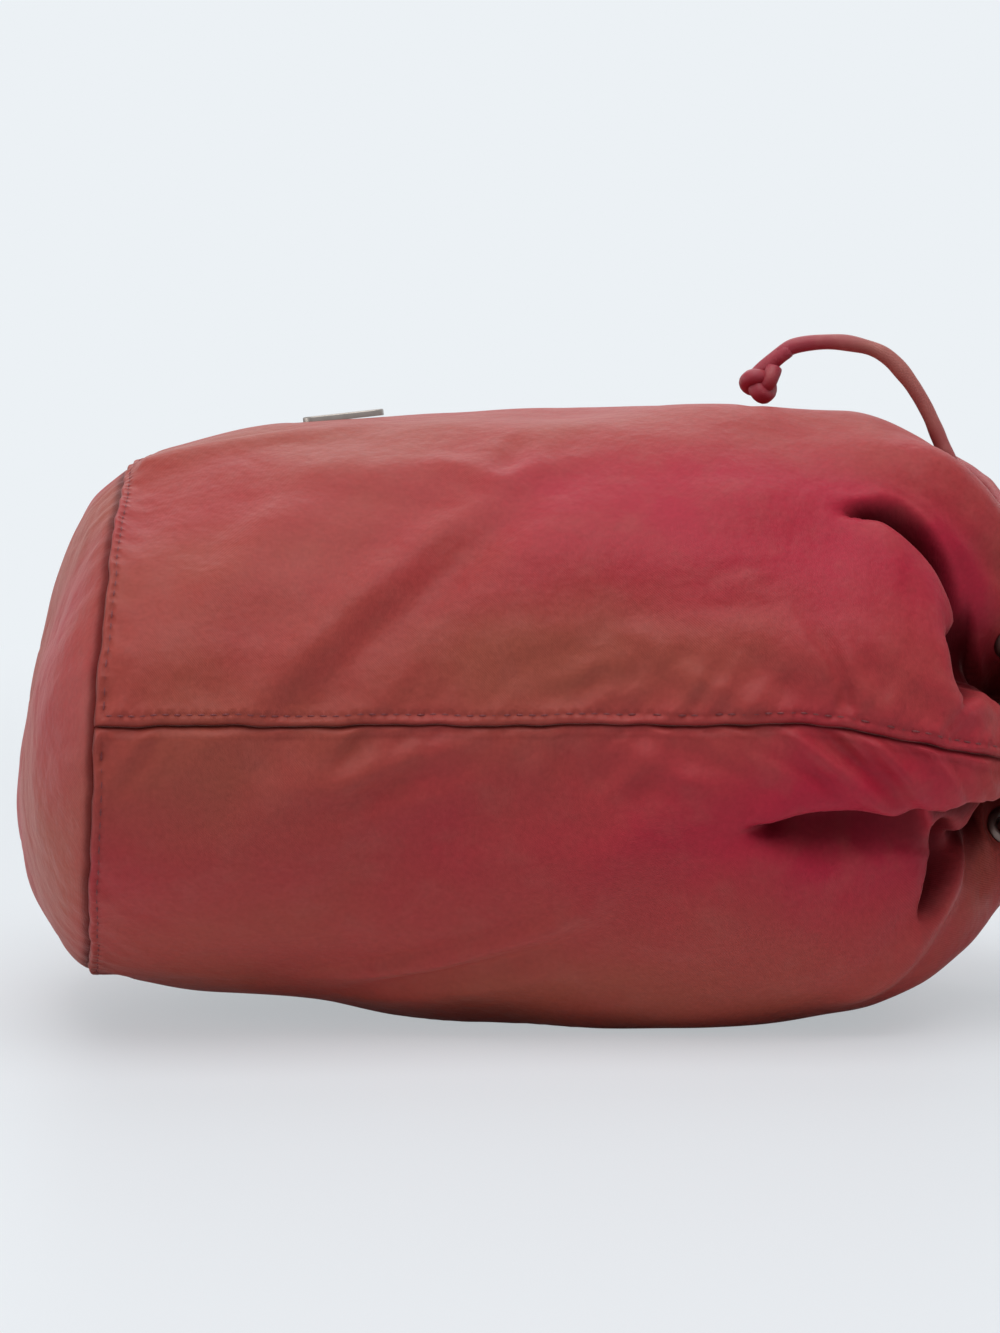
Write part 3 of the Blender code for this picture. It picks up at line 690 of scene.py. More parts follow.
@dataclass(frozen=True)
class YarnMix:
    """Two dyed yarns that show in turn, rubbed paler on the small rises.

    The attribute gives the second yarn's share at each place. Cloud values are for the drift
    between the two, rub values for the pale spots. Sizes are in metres.
    """

    attribute: str
    first: str
    second: str
    worn: str
    cloud_size: float
    cloud_detail: float
    cloud_roughness: float
    cloud_reach: float
    rub_size: float
    rub_detail: float
    rub_full: float
    rub_share: float

    def add(self, tree: bpy.types.NodeTree, place: dict) -> tuple[bpy.types.NodeSocket, bpy.types.NodeSocket]:
        """Add the yarns' nodes to a material.

        Args:
            tree: the material's node tree.
            place: link to the coordinates that the patterns read.

        Returns:
            The colour, and the pattern of the rubbed spots.
        """
        share = add_node(tree, "ShaderNodeAttribute", {"attribute_name": self.attribute})
        cloud = add_node(tree, "ShaderNodeTexNoise", {"Scale": 1.0 / self.cloud_size, "Detail": self.cloud_detail,
                                                      "Roughness": self.cloud_roughness}, place)
        drifted = add_node(tree, "ShaderNodeMath", {"operation": "MULTIPLY_ADD", 1: self.cloud_reach,
                                                    2: -0.5 * self.cloud_reach}, {0: cloud.outputs["Fac"]})
        blend = add_node(tree, "ShaderNodeMath", {"operation": "ADD", "use_clamp": True},
                         {0: share.outputs["Fac"], 1: drifted.outputs[0]})
        yarns = add_node(tree, "ShaderNodeMix", {"data_type": "RGBA", 6: linear(self.first), 7: linear(self.second)},
                         {0: blend.outputs[0]})
        rub = add_node(tree, "ShaderNodeTexNoise", {"Scale": 1.0 / self.rub_size, "Detail": self.rub_detail}, place)
        rubbed = add_node(tree, "ShaderNodeMapRange",
                          {"From Min": 0.5, "From Max": self.rub_full, "To Max": self.rub_share},
                          {"Value": rub.outputs["Fac"]})
        faded = add_node(tree, "ShaderNodeMix", {"data_type": "RGBA", 7: linear(self.worn)},
                         {0: rubbed.outputs[0], 6: yarns.outputs[2]})
        return faded.outputs[2], rub.outputs["Fac"]


@dataclass(frozen=True)
class ShotNylon:
    """Thin nylon twill woven from rust warp and crimson weft, soft and slightly shiny.

    The two yarns show in turn as the cloth folds, so the colour drifts between them, and the
    face has a fine diagonal grain and a dusty sheen at the edges. The grain is drawn somewhat
    coarser than the woven one, because that would be too fine to show.
    """

    name: str = "shot_nylon_twill"
    yarns: YarnMix = YarnMix(
        "shot", first="#9a4a3c", second="#aa2238", worn="#a65850", cloud_size=26.0 * MM, cloud_detail=4.0,
        cloud_roughness=0.55, cloud_reach=0.6, rub_size=9.0 * MM, rub_detail=5.0, rub_full=0.8, rub_share=0.28)
    # The deep tone is painted shade, laid on folds and seam ditches by the fold attribute.
    deep: str = "#3c060b"
    dust: str = "#f0c8c0"
    grain: float = 0.55 * MM
    slub_size: float = 1.1 * MM
    crinkle_size: float = 7.0 * MM
    roughness: float = 0.46

    def make(self) -> bpy.types.Material:
        """Build the cloth's material.

        Returns:
            The material of the cloth's face.
        """
        material, shader, space = blank_material(self.name)
        tree = material.node_tree
        place = {"Vector": space.outputs["Object"]}
        # The fold attribute is painted shade: it mixes in the deep tone and dims the gloss in folds and seam ditches.
        fold = add_node(tree, "ShaderNodeAttribute", {"attribute_name": "fold"})
        faded, _ = self.yarns.add(tree, place)
        with_painted_shade = add_node(tree, "ShaderNodeMix", {"data_type": "RGBA", 7: linear(self.deep)},
                        {0: fold.outputs["Fac"], 6: faded})
        twill = add_node(tree, "ShaderNodeTexWave",
                         {"bands_direction": "DIAGONAL", "Scale": band_scale(self.grain),
                          "Distortion": 1.2, "Detail": 1.0, "Detail Scale": 2.0},
                         {"Vector": space.outputs["UV"]})
        slub = add_node(tree, "ShaderNodeTexNoise", {"Scale": 1.0 / self.slub_size, "Detail": 2.0}, place)
        shade = add_node(tree, "ShaderNodeMath", {"operation": "MULTIPLY_ADD", 1: 0.32, 2: 0.84},
                         {0: slub.outputs["Fac"]})
        toned = add_node(tree, "ShaderNodeVectorMath", {"operation": "SCALE"},
                         {0: with_painted_shade.outputs[2], "Scale": shade.outputs[0]})
        crinkle = add_node(tree, "ShaderNodeTexNoise", {"Scale": 1.0 / self.crinkle_size, "Detail": 3.0}, place)
        creased = add_node(tree, "ShaderNodeBump", {"Strength": 0.75, "Distance": 1.0 * MM},
                           {"Height": crinkle.outputs["Fac"]})
        woven = add_node(tree, "ShaderNodeBump", {"Strength": 0.22, "Distance": 0.12 * MM},
                         {"Height": twill.outputs["Fac"], "Normal": creased.outputs[0]})
        gloss = add_node(tree, "ShaderNodeMath", {"operation": "MULTIPLY_ADD", 1: -0.14, 2: 0.15},
                         {0: fold.outputs["Fac"]})
        set_node(shader, {"Roughness": self.roughness, "Sheen Weight": 0.16, "Sheen Roughness": 0.26,
                          "Sheen Tint": linear(self.dust)},
                 {"Base Color": toned.outputs[0], "Specular IOR Level": gloss.outputs[0],
                  "Normal": self.stitch_pull(tree, woven.outputs[0])})
        return material

    def stitch_pull(self, tree: bpy.types.NodeTree, normal: bpy.types.NodeSocket) -> bpy.types.NodeSocket:
        """Dent the cloth at the needle holes and swell it between them along the welts.

        Args:
            tree: the cloth's node tree.
            normal: normal that the dents are added to.

        Returns:
            The dented normal.
        """
        ditch = add_node(tree, "ShaderNodeAttribute", {"attribute_name": "ditch"})
        walked = add_node(tree, "ShaderNodeAttribute", {"attribute_name": "walked"})
        swing = add_node(tree, "ShaderNodeMath", {"operation": "MULTIPLY", 1: math.pi / STITCH_PITCH},
                         {0: walked.outputs["Fac"]})
        wave = add_node(tree, "ShaderNodeMath", {"operation": "COSINE"}, {0: swing.outputs[0]})
        hole = add_node(tree, "ShaderNodeMath", {"operation": "ABSOLUTE"}, {0: wave.outputs[0]})
        off = add_node(tree, "ShaderNodeMath", {"operation": "SUBTRACT", 1: STITCH_LINE},
                       {0: ditch.outputs["Fac"]})
        off = add_node(tree, "ShaderNodeMath", {"operation": "ABSOLUTE"}, {0: off.outputs[0]})
        line = add_node(tree, "ShaderNodeMapRange", {"interpolation_type": "SMOOTHSTEP", "From Max": 1.5 * MM,
                                                     "To Min": 1.0, "To Max": 0.0}, {"Value": off.outputs[0]})
        dent = add_node(tree, "ShaderNodeMath", {"operation": "MULTIPLY"}, {0: hole.outputs[0], 1: line.outputs[0]})
        pulled = add_node(tree, "ShaderNodeBump", {"invert": True, "Strength": 0.8, "Distance": 0.42 * MM},
                          {"Height": dent.outputs[0], "Normal": normal})
        return pulled.outputs[0]


@dataclass(frozen=True)
class CoatedBack:
    """Back of the nylon, coated with a thin dull film, which hides the weave and darkens it."""

    name: str = "coated_nylon_back"
    tone: str = "#4a1a1c"
    thin: str = "#5e2526"
    film_size: float = 6.0 * MM
    roughness: float = 0.6

    def make(self) -> bpy.types.Material:
        """Build the coating's material.

        Returns:
            The material of the cloth's inner face.
        """
        material, shader, space = blank_material(self.name)
        tree = material.node_tree
        film = add_node(tree, "ShaderNodeTexNoise", {"Scale": 1.0 / self.film_size, "Detail": 4.0},
                        {"Vector": space.outputs["Object"]})
        tone = add_node(tree, "ShaderNodeMix", {"data_type": "RGBA", 6: linear(self.tone), 7: linear(self.thin)},
                        {0: film.outputs["Fac"]})
        wrinkled = add_node(tree, "ShaderNodeBump", {"Strength": 0.3, "Distance": 0.5 * MM},
                            {"Height": film.outputs["Fac"]})
        set_node(shader, {"Roughness": self.roughness},
                 {"Base Color": tone.outputs[2], "Normal": wrinkled.outputs[0]})
        return material


@dataclass(frozen=True)
class SpunThread:
    """Polyester sewing thread, twisted and dyed a shade darker than the cloth."""

    name: str = "spun_polyester_thread"
    tone: str = "#8a3436"
    # The groove tone is painted shade in the grooves between the twisted plies.
    groove: str = "#5d1c22"
    ply_width: float = 0.3 * MM
    roughness: float = 0.55

    def make(self) -> bpy.types.Material:
        """Build the thread's material.

        Returns:
            The material of every stitch.
        """
        material, shader, space = blank_material(self.name)
        tree = material.node_tree
        # Diagonal bands of painted shade mark the grooves between the plies.
        ply = add_node(tree, "ShaderNodeTexWave",
                       {"bands_direction": "DIAGONAL", "Scale": band_scale(self.ply_width)},
                       {"Vector": space.outputs["Object"]})
        tone = add_node(tree, "ShaderNodeMix", {"data_type": "RGBA", 6: linear(self.groove), 7: linear(self.tone)},
                        {0: ply.outputs["Fac"]})
        set_node(shader, {"Roughness": self.roughness}, {"Base Color": tone.outputs[2]})
        return material


@dataclass(frozen=True)
class CordCover:
    """Strip of the pouch's nylon folded and sewn round a cord, drawn tight and rubbed at its bends."""

    name: str = "nylon_cord_cover"
    yarns: YarnMix = YarnMix(
        "olive", first="#962234", second="#a05a50", worn="#b46a62", cloud_size=9.0 * MM, cloud_detail=2.0,
        cloud_roughness=0.5, cloud_reach=0.5, rub_size=5.0 * MM, rub_detail=4.0, rub_full=0.75, rub_share=0.4)
    dust: str = "#f0c8c0"
    grain: float = 0.5 * MM
    roughness: float = 0.5

    def make(self) -> bpy.types.Material:
        """Build the cord's material.

        Returns:
            The material of the cord and its knots.
        """
        material, shader, space = blank_material(self.name)
        tree = material.node_tree
        faded, rub = self.yarns.add(tree, {"Vector": space.outputs["Object"]})
        twill = add_node(tree, "ShaderNodeTexWave",
                         {"bands_direction": "DIAGONAL", "Scale": band_scale(self.grain), "Distortion": 1.0},
                         {"Vector": space.outputs["UV"]})
        woven = add_node(tree, "ShaderNodeBump", {"Strength": 0.3, "Distance": 0.12 * MM},
                         {"Height": twill.outputs["Fac"]})
        pulled = add_node(tree, "ShaderNodeBump", {"Strength": 0.5, "Distance": 0.5 * MM},
                          {"Height": rub, "Normal": woven.outputs[0]})
        set_node(shader, {"Roughness": self.roughness, "Sheen Weight": 0.1, "Sheen Roughness": 0.4,
                          "Sheen Tint": linear(self.dust)},
                 {"Base Color": faded, "Normal": pulled.outputs[0]})
        return material


@dataclass(frozen=True)
class PlatedMetal:
    """Nickel-plated brass, tumbled to a satin and dulled by handling."""

    name: str
    tone: str
    tarnish: str
    roughness: float
    haze_size: float = 3.0 * MM
    scratch_size: float = 0.6 * MM

    def make(self) -> bpy.types.Material:
        """Build the metal's material.

        Returns:
            The material of one metal piece.
        """
        material, shader, space = blank_material(self.name)
        tree = material.node_tree
        place = {"Vector": space.outputs["Object"]}
        haze = add_node(tree, "ShaderNodeTexNoise", {"Scale": 1.0 / self.haze_size, "Detail": 5.0}, place)
        tone = add_node(tree, "ShaderNodeMix", {"data_type": "RGBA", 6: linear(self.tone), 7: linear(self.tarnish)},
                        {0: haze.outputs["Fac"]})
        rough = add_node(tree, "ShaderNodeMapRange",
                         {"To Min": self.roughness - 0.07, "To Max": self.roughness + 0.1},
                         {"Value": haze.outputs["Fac"]})
        scratch = add_node(tree, "ShaderNodeTexNoise", {"Scale": 1.0 / self.scratch_size, "Detail": 3.0}, place)
        satin = add_node(tree, "ShaderNodeBump", {"Strength": 0.12, "Distance": 0.05 * MM},
                         {"Height": scratch.outputs["Fac"]})
        set_node(shader, {"Metallic": 1.0}, {"Base Color": tone.outputs[2], "Roughness": rough.outputs[0],
                                             "Normal": satin.outputs[0]})
        return material


@dataclass(frozen=True)
class Finishes:
    """Every finish of the pouch, made once."""

    cloth: bpy.types.Material = field(default_factory=lambda: ShotNylon().make())
    lining: bpy.types.Material = field(default_factory=lambda: CoatedBack().make())
    thread: bpy.types.Material = field(default_factory=lambda: SpunThread().make())
    cord: bpy.types.Material = field(default_factory=lambda: CordCover().make())
    eyelet: bpy.types.Material = field(default_factory=lambda: PlatedMetal(
        "dulled_nickel", "#8a7a74", "#5c4c47", 0.36).make())
    plate: bpy.types.Material = field(default_factory=lambda: PlatedMetal(
        "satin_nickel", "#9c948d", "#7c746f", 0.38).make())


def bent_grid(rows: int, columns: int, place: Callable[[Points, Points], Points],
              size: Callable[[Points, Points], Points] | None = None) -> bmesh.types.BMesh:
    """Start from a flat grid and bend it to a shape.

    Args:
        rows: number of faces in the first direction.
        columns: number of faces in the second direction.
        place: gives the points from their two shares of the grid.
        size: gives the pattern's coordinates, in metres, from the same shares.

    Returns:
        The bent grid, with its pattern coordinates in the layer named cloth.
    """
    sheet = bmesh.new()
    bmesh.ops.create_grid(sheet, x_segments=rows, y_segments=columns, size=0.5)
    shares = np.array([vert.co[:2] for vert in sheet.verts]) + 0.5
    for vert, point in zip(sheet.verts, place(shares[:, 0], shares[:, 1])):
        vert.co = point
    if size is not None:
        pattern = size(shares[:, 0], shares[:, 1])
        layer = sheet.loops.layers.uv.new("cloth")
        sheet.verts.index_update()
        for face in sheet.faces:
            for loop in face.loops:
                loop[layer].uv = pattern[loop.vert.index]
    return sheet


def keep_values(sheet: bmesh.types.BMesh, name: str, values: Points) -> None:
    """Write one number to each vertex of a mesh under construction.

    Args:
        sheet: mesh under construction.
        name: name of the attribute.
        values: one number to a vertex.
    """
    layer = sheet.verts.layers.float.new(name)
    for vert, value in zip(sheet.verts, values):
        vert[layer] = float(value)


def face_out(sheet: bmesh.types.BMesh, inside: Callable[[Vector], Vector]) -> None:
    """Turn a grid over where most of its faces look inward.

    Args:
        sheet: mesh under construction.
        inside: gives a point on the inner side of a face from the face's middle.
    """
    sheet.normal_update()
    middles = [(face.calc_center_median(), face) for face in list(sheet.faces)[::17]]
    if sum(face.normal.dot(middle - inside(middle)) for middle, face in middles) < 0.0:
        bmesh.ops.reverse_faces(sheet, faces=sheet.faces)


def link_object(name: str, data: bpy.types.ID) -> bpy.types.Object:
    """Put a new object into the scene.

    Args:
        name: name of the object.
        data: its mesh, light or camera.

    Returns:
        The new object.
    """
    item = bpy.data.objects.new(name, data)
    bpy.context.collection.objects.link(item)
    return item


def finish_piece(name: str, sheet: bmesh.types.BMesh, slot: str,
                 *materials: bpy.types.Material) -> bpy.types.Object:
    """Turn a mesh under construction into a piece that rides on the pouch.

    Args:
        name: name of the piece.
        sheet: mesh under construction, which is freed.
        slot: not used.
        materials: the piece's finishes, the outer one first.

    Returns:
        The new object.
    """
    for face in sheet.faces:
        face.smooth = True
    data = bpy.data.meshes.new(name)
    sheet.to_mesh(data)
    sheet.free()
    for material in materials:
        data.materials.append(material)
    piece = link_object(name, data)
    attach(piece, "root")
    LOG.info("%s: %d faces", name, len(data.polygons))
    return piece


@dataclass
class PouchCloth:
    """Two curved panels and the oval base, with their hue patches."""

    skin: ClothSkin
    finishes: Finishes
    fine_step: float = 0.36 * MM
    fine_rows: int = 14
    body_rows: int = 110
    neck_rows: int = 104
    middle_columns: int = 176
    dome_bulge: float = 22.2 * MM
    dome_power: float = 0.72
    dome_drop: float = 10.0 * MM
    rim_tuck: float = 1.5 * MM
    rim_sink: float = 0.7 * MM
    tuck_rows: int = 5
    base_columns: int = 336
    base_rows: int = 100
    hues: tuple[HuePatch, ...] = ()

    def runs(self) -> Points:
        """Give the runs of a panel's rows, close together at the seam and at the neck.

        Returns:
            One run to a row, from the base seam to the mouth.
        """
        form = self.skin.form
        fine = np.arange(self.fine_rows) * self.fine_step
        neck = 0.72 * form.cloth_run
        body = np.linspace(self.fine_rows * self.fine_step, neck, self.body_rows)
        mouth = form.cloth_run + form.ruffle_run
        rest = np.linspace(neck, mouth - 1.2 * MM, self.neck_rows)[1:]
        return np.concatenate((fine, body, rest, mouth - np.array([0.8, 0.5, 0.25, 0.0]) * MM))

    def columns(self, radius: Points, panel: Panel) -> Points:
        """Give the turns of a panel's columns, close together at its two seams.

        Args:
            radius: the ridges' distance from the axis at each row.
            panel: the panel; a tucked edge reaches under the welt.

        Returns:
            Turns, one row of them to a radius.
        """
        count = self.fine_rows
        start = 0.12 * MM if panel.edge is Edge.WELTED else -0.9 * MM
        fine = (start + np.arange(count) * self.fine_step)[None, :] / radius[:, None]
        inner = fine[:, -1:] + self.fine_step / radius[:, None]
        shares = np.linspace(0.0, 1.0, self.middle_columns)[None, :]
        middle = panel.first + inner + (panel.last - panel.first - 2.0 * inner) * shares
        return np.concatenate((panel.first + fine, middle, panel.last - fine[:, ::-1]), axis=1)

    def shot(self, run: Points, turn: Points, points: Points) -> Points:
        """Give the share of crimson yarn that shows.

        Args:
            run: distance along the cloth from the base seam.
            turn: turn round the tube, in radians.
            points: the cloth's points there.

        Returns:
            The share at each place, from 0 to 1.
        """
        total = 0.36 + 0.10 * drift(points, 50.0 * MM, 21, (2.0, 1.0, 1.0))
        for hue in self.hues:
            total = total + hue.read(run, turn)
        return np.clip(total, 0.0, 1.0)

    def painted_fold_shade(self, run: Points, turn: Points, ditch: Points) -> Points:
        """Give the painted shade of each place, deep in a fold or beside a seam.

        Args:
            run: distance along the cloth from the base seam.
            turn: turn round the tube, in radians.
            ditch: distance from the nearest seam.

        Returns:
            The painted shade at each place, from 0 to 1.
        """
        depth, _, _ = self.skin.form.pleat(run / self.skin.form.cloth_run, turn)
        # Painted shade, darker where a neck valley runs deep and along each tuck.
        deep = 0.75 * ease((depth - 5.0 * MM) / (18.0 * MM))
        for tuck in self.skin.tucks:
            deep = np.maximum(deep, tuck.read(run, turn)[3])
        # Painted shade in the seam's ditch, and a lighter band of it along the stitch row.
        beside = 0.6 * bell(ditch / (0.6 * MM))
        stitched = 0.15 * bell((ditch - STITCH_LINE) / (0.5 * MM))
        return np.clip(deep + beside + stitched, 0.0, 1.0)

    def make_panel(self, name: str, panel: Panel, slot: str) -> None:
        """Build one curved panel.

        Args:
            name: name of the CAD node that the panel replaces.
            panel: its edges.
            slot: name of a material slot, passed on to finish_piece.
        """
        form = self.skin.form
        rows = self.runs()
        seam = np.full(len(rows), panel.first)
        turns = self.columns(form.section(rows / form.cloth_run, seam), panel)
        kept: dict[str, Points] = {}

        def places(u: Points, v: Points) -> tuple[Points, Points]:
            """Find places of the panel's own grid.

            Args:
                u: shares in the grid's first direction.
                v: shares in its second direction.

            Returns:
                Run and turn of each place.
            """
            i = np.rint(u * (len(rows) - 1)).astype(int)
            j = np.rint(v * (turns.shape[1] - 1)).astype(int)
            return rows[i], turns[i, j]

        def place(u: Points, v: Points) -> Points:
            """Give the panel's points, and keep what its material reads there.

            Args:
                u: shares in the grid's first direction.
                v: shares in its second direction.

            Returns:
                One point to a row.
            """
            run, turn = places(u, v)
            points, _ = self.skin.surface(run, turn, panel)
            side = panel.inward(turn) * form.section(run / form.cloth_run, turn)
            sewn = side if panel.edge is Edge.WELTED else np.ones(len(run))
            kept["ditch"] = np.minimum(sewn, run)
            kept["walked"] = np.where(sewn < run, run, turn * form.belly_side)
            kept["shot"] = self.shot(run, turn, points)
            # The fold attribute keeps the painted shade of folds and seam ditches.
            kept["fold"] = self.painted_fold_shade(run, turn, np.minimum(side, run))
            return points

        def pattern(u: Points, v: Points) -> Points:
            """Give the weave's coordinates, in metres along the cloth."""
            run, turn = places(u, v)
            return np.stack((run, turn * form.belly_side), axis=-1)

        sheet = bent_grid(len(rows) - 1, turns.shape[1] - 1, place, pattern)
        for title, values in kept.items():
            keep_values(sheet, title, values)
        self.open_eyelets(sheet)
        face_out(sheet, lambda middle: Vector((middle.x, 0.0, form.axis_height)))
        piece = finish_piece(f"{name}_cloth", sheet, slot, self.finishes.cloth, self.finishes.lining)
        thicken(piece, form.fabric)
        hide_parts(name)

    def open_eyelets(self, sheet: bmesh.types.BMesh) -> None:
        """Cut the eyelets' holes in a panel.

        Args:
            sheet: the panel's mesh under construction.
        """
        form = self.skin.form
        hole = form.bore_radius + form.eyelet_wall + form.gap
        doomed = []
        for turn in form.flanks():
            centre, axis = form.seat(turn)
            for face in sheet.faces:
                away = face.calc_center_median() - centre
                if away.length < 2.0 * hole and abs(away.dot(axis)) < 2.0 * MM:
                    if (away - axis * away.dot(axis)).length < hole:
                        doomed.append(face)
        bmesh.ops.delete(sheet, geom=list(set(doomed)), context="FACES")

    def make_base(self) -> None:
        """Build the domed oval base, tucked into the wall's seam."""
        form = self.skin.form
        kept: dict[str, Points] = {}

        def place(u: Points, v: Points) -> Points:
            """Give the base's points, and keep the painted shade that the seam puts on them.

            Args:
                u: shares in the grid's first direction.
                v: shares in its second direction.

            Returns:
                One point to a row.
            """
            turn = v * math.tau
            rim = form.point(np.zeros(len(turn)), turn)
            normal, _, _ = form.axes(np.zeros(len(turn)), turn)
            rim = rim - normal * self.rim_sink
            centre = np.array([float(rim[:, 0].mean()), 0.0, form.axis_height - self.dome_drop])
            split = self.tuck_rows / self.base_rows
            inner = np.clip((u - split) / (1.0 - split), 0.0, 1.0)
            share = 1.0 - inner ** 1.7
            points = centre + (rim - centre) * share[:, None]
            bulge = self.dome_bulge * np.maximum(0.0, 1.0 - share * share) ** self.dome_power
            points[:, 0] -= bulge
            points[:, 0] += self.skin.seam_sway(turn * form.belly_side) * bell((1.0 - share) * 14.0)
            tucked = np.clip(1.0 - u / split, 0.0, 1.0)
            points = points - normal * (tucked ** 1.3 * 1.1 * MM)[:, None]
            points[:, 0] += tucked ** 0.8 * self.rim_tuck
            across = np.stack((np.zeros(len(turn)), points[:, 1] - centre[1], points[:, 2] - centre[2]), axis=-1)
            outward = unit(across) * (share ** 3)[:, None]
            outward[:, 0] -= np.sqrt(np.maximum(0.0, 1.0 - share ** 6))
            from_rim = (1.0 - share) * 70.0 * MM
            ring = (0.5 * np.sin(53.0 * turn + 0.4) + 0.4 * np.sin(31.0 * turn + 1.0)
                    + 0.3 * np.sin(79.0 * turn + 3.0))
            wrinkle = 0.16 * MM * ring * bell((from_rim - 3.0 * MM) / (6.0 * MM)) * (1.0 - tucked)
            open_cloth = ease(from_rim / (9.0 * MM))
            slack = (0.7 * MM * drift(points, 58.0 * MM, 31) + 0.2 * MM * drift(points, 19.0 * MM, 32)) * open_cloth
            # Painted shade where the base tucks under the welt and in the seam's ditch.
            kept["fold"] = np.clip(tucked + 0.7 * bell(from_rim / (0.9 * MM)), 0.0, 1.0)
            lines = drift(points, 30.0 * MM, 33)
            slack -= 0.2 * MM * bell(lines / 0.15) * open_cloth
            return points + outward * (wrinkle + slack)[:, None]

        def pattern(u: Points, v: Points) -> Points:
            """Give the weave's coordinates, in metres across the base."""
            return place(u, v)[:, 1:]

        sheet = bent_grid(self.base_rows, self.base_columns, place, pattern)
        points = np.array([vert.co for vert in sheet.verts])
        tone = 0.22 + 0.15 * drift(points, 45.0 * MM, 22)
        near = bell((points[:, 2] - 0.098) / 0.022) * bell((points[:, 1] + 0.055) / 0.03)
        keep_values(sheet, "shot", np.clip(tone + 0.15 * near, 0.0, 1.0))
        kept["ditch"] = kept["walked"] = np.ones(len(points))
        for title, values in kept.items():
            keep_values(sheet, title, values)
        bmesh.ops.remove_doubles(sheet, verts=sheet.verts, dist=0.02 * MM)
        face_out(sheet, lambda middle: Vector((0.0, 0.0, form.axis_height)))
        piece = finish_piece("base_panel_cloth", sheet, "base_cloth", self.finishes.cloth, self.finishes.lining)
        thicken(piece, form.fabric)
        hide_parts("base_panel")

    def build(self) -> None:
        """Build the whole cloth."""
        self.make_panel("front_panel", FRONT, "front_cloth")
        self.make_panel("back_panel", BACK, "back_cloth")
        self.make_base()


def thicken(piece: bpy.types.Object, thickness: float) -> None:
    """Give a cloth piece its thickness, with the second finish inside.

    Args:
        piece: the cloth's outer face.
        thickness: thickness of the cloth.
    """
    wall = piece.modifiers.new("thickness", "SOLIDIFY")
    wall.thickness = thickness
    wall.offset = -1.0
    wall.material_offset = 1
    wall.material_offset_rim = 0


@dataclass
class Topstitching:
    """Rows of lockstitch beside the seams, one thread length between two needle holes each."""

    skin: ClothSkin
    thread: bpy.types.Material
    thread_radius: float = 0.23 * MM
    stitch_share: float = 0.72
    hem_margin: float = 0.04
    hem_places: int = 900

    def sew(self, sheet: bmesh.types.BMesh, runs: Points, turns: Points, panel: Panel) -> None:
        """Sew one row of stitches.

        Args:
            sheet: mesh that takes the stitches.
            runs: runs of the needle holes.
            turns: turns of the needle holes.
            panel: the panel that they go through.
        """
        points, normals = self.skin.surface(runs, turns, panel)
        for start, end, up in zip(points, points[1:], normals):
            line = Vector(end - start)
            if not 0.5 * STITCH_PITCH < line.length < 2.0 * STITCH_PITCH:
                continue
            ahead = line.normalized()
            side = Vector(up).cross(ahead).normalized()
            turned = Matrix((ahead, side, ahead.cross(side))).transposed()
            size = Matrix.Diagonal((0.5 * line.length * self.stitch_share, self.thread_radius,
                                    self.thread_radius))
            place = Matrix.Translation((Vector(start) + Vector(end)) / 2.0) @ (turned @ size).to_4x4()
            bmesh.ops.create_uvsphere(sheet, u_segments=6, v_segments=4, radius=1.0, matrix=place)

    def side_seams(self) -> None:
        """Sew the front panel's welts beside both side seams."""
        form = self.skin.form
        for name, first, heading in (("near", 0.0, 1.0), ("far", math.pi, -1.0)):
            sheet = bmesh.new()
            count = int((form.cloth_run + form.ruffle_run) / STITCH_PITCH)
            runs = np.arange(1, count) * STITCH_PITCH
            radius = form.section(runs / form.cloth_run, np.full(len(runs), first))
            turns = first + heading * STITCH_LINE / radius
            self.sew(sheet, runs, turns, FRONT)
            finish_piece(f"side_seam_topstitch_{name}", sheet, "front_cloth", self.thread)

    def base_seam(self) -> None:
        """Sew the wall's welt round the base seam."""
        pitch = STITCH_PITCH / self.skin.form.belly_side
        sheet = bmesh.new()
        for panel in (FRONT, BACK):
            turns = np.arange(math.ceil(panel.first / pitch) + 1, math.floor(panel.last / pitch)) * pitch
            self.sew(sheet, np.full(len(turns), STITCH_LINE), turns, panel)
        finish_piece("base_seam_topstitch", sheet, "base_cloth", self.thread)

    def mouth_hem(self) -> None:
        """Sew the hem round the mouth."""
        form = self.skin.form
        sheet = bmesh.new()
        run = form.cloth_run + form.ruffle_run - self.skin.hem_line
        for panel in (FRONT, BACK):
            fine = np.linspace(panel.first + self.hem_margin, panel.last - self.hem_margin, self.hem_places)
            points, _ = self.skin.surface(np.full(len(fine), run), fine, panel)
            walked = np.concatenate(([0.0], np.cumsum(np.linalg.norm(np.diff(points, axis=0), axis=1))))
            turns = np.interp(np.arange(0.0, walked[-1], STITCH_PITCH), walked, fine)
            self.sew(sheet, np.full(len(turns), run), turns, panel)
        finish_piece("mouth_hem_stitches", sheet, "front_cloth", self.thread)

    def build(self) -> None:
        """Sew every row."""
        self.side_seams()
        self.base_seam()
        self.mouth_hem()


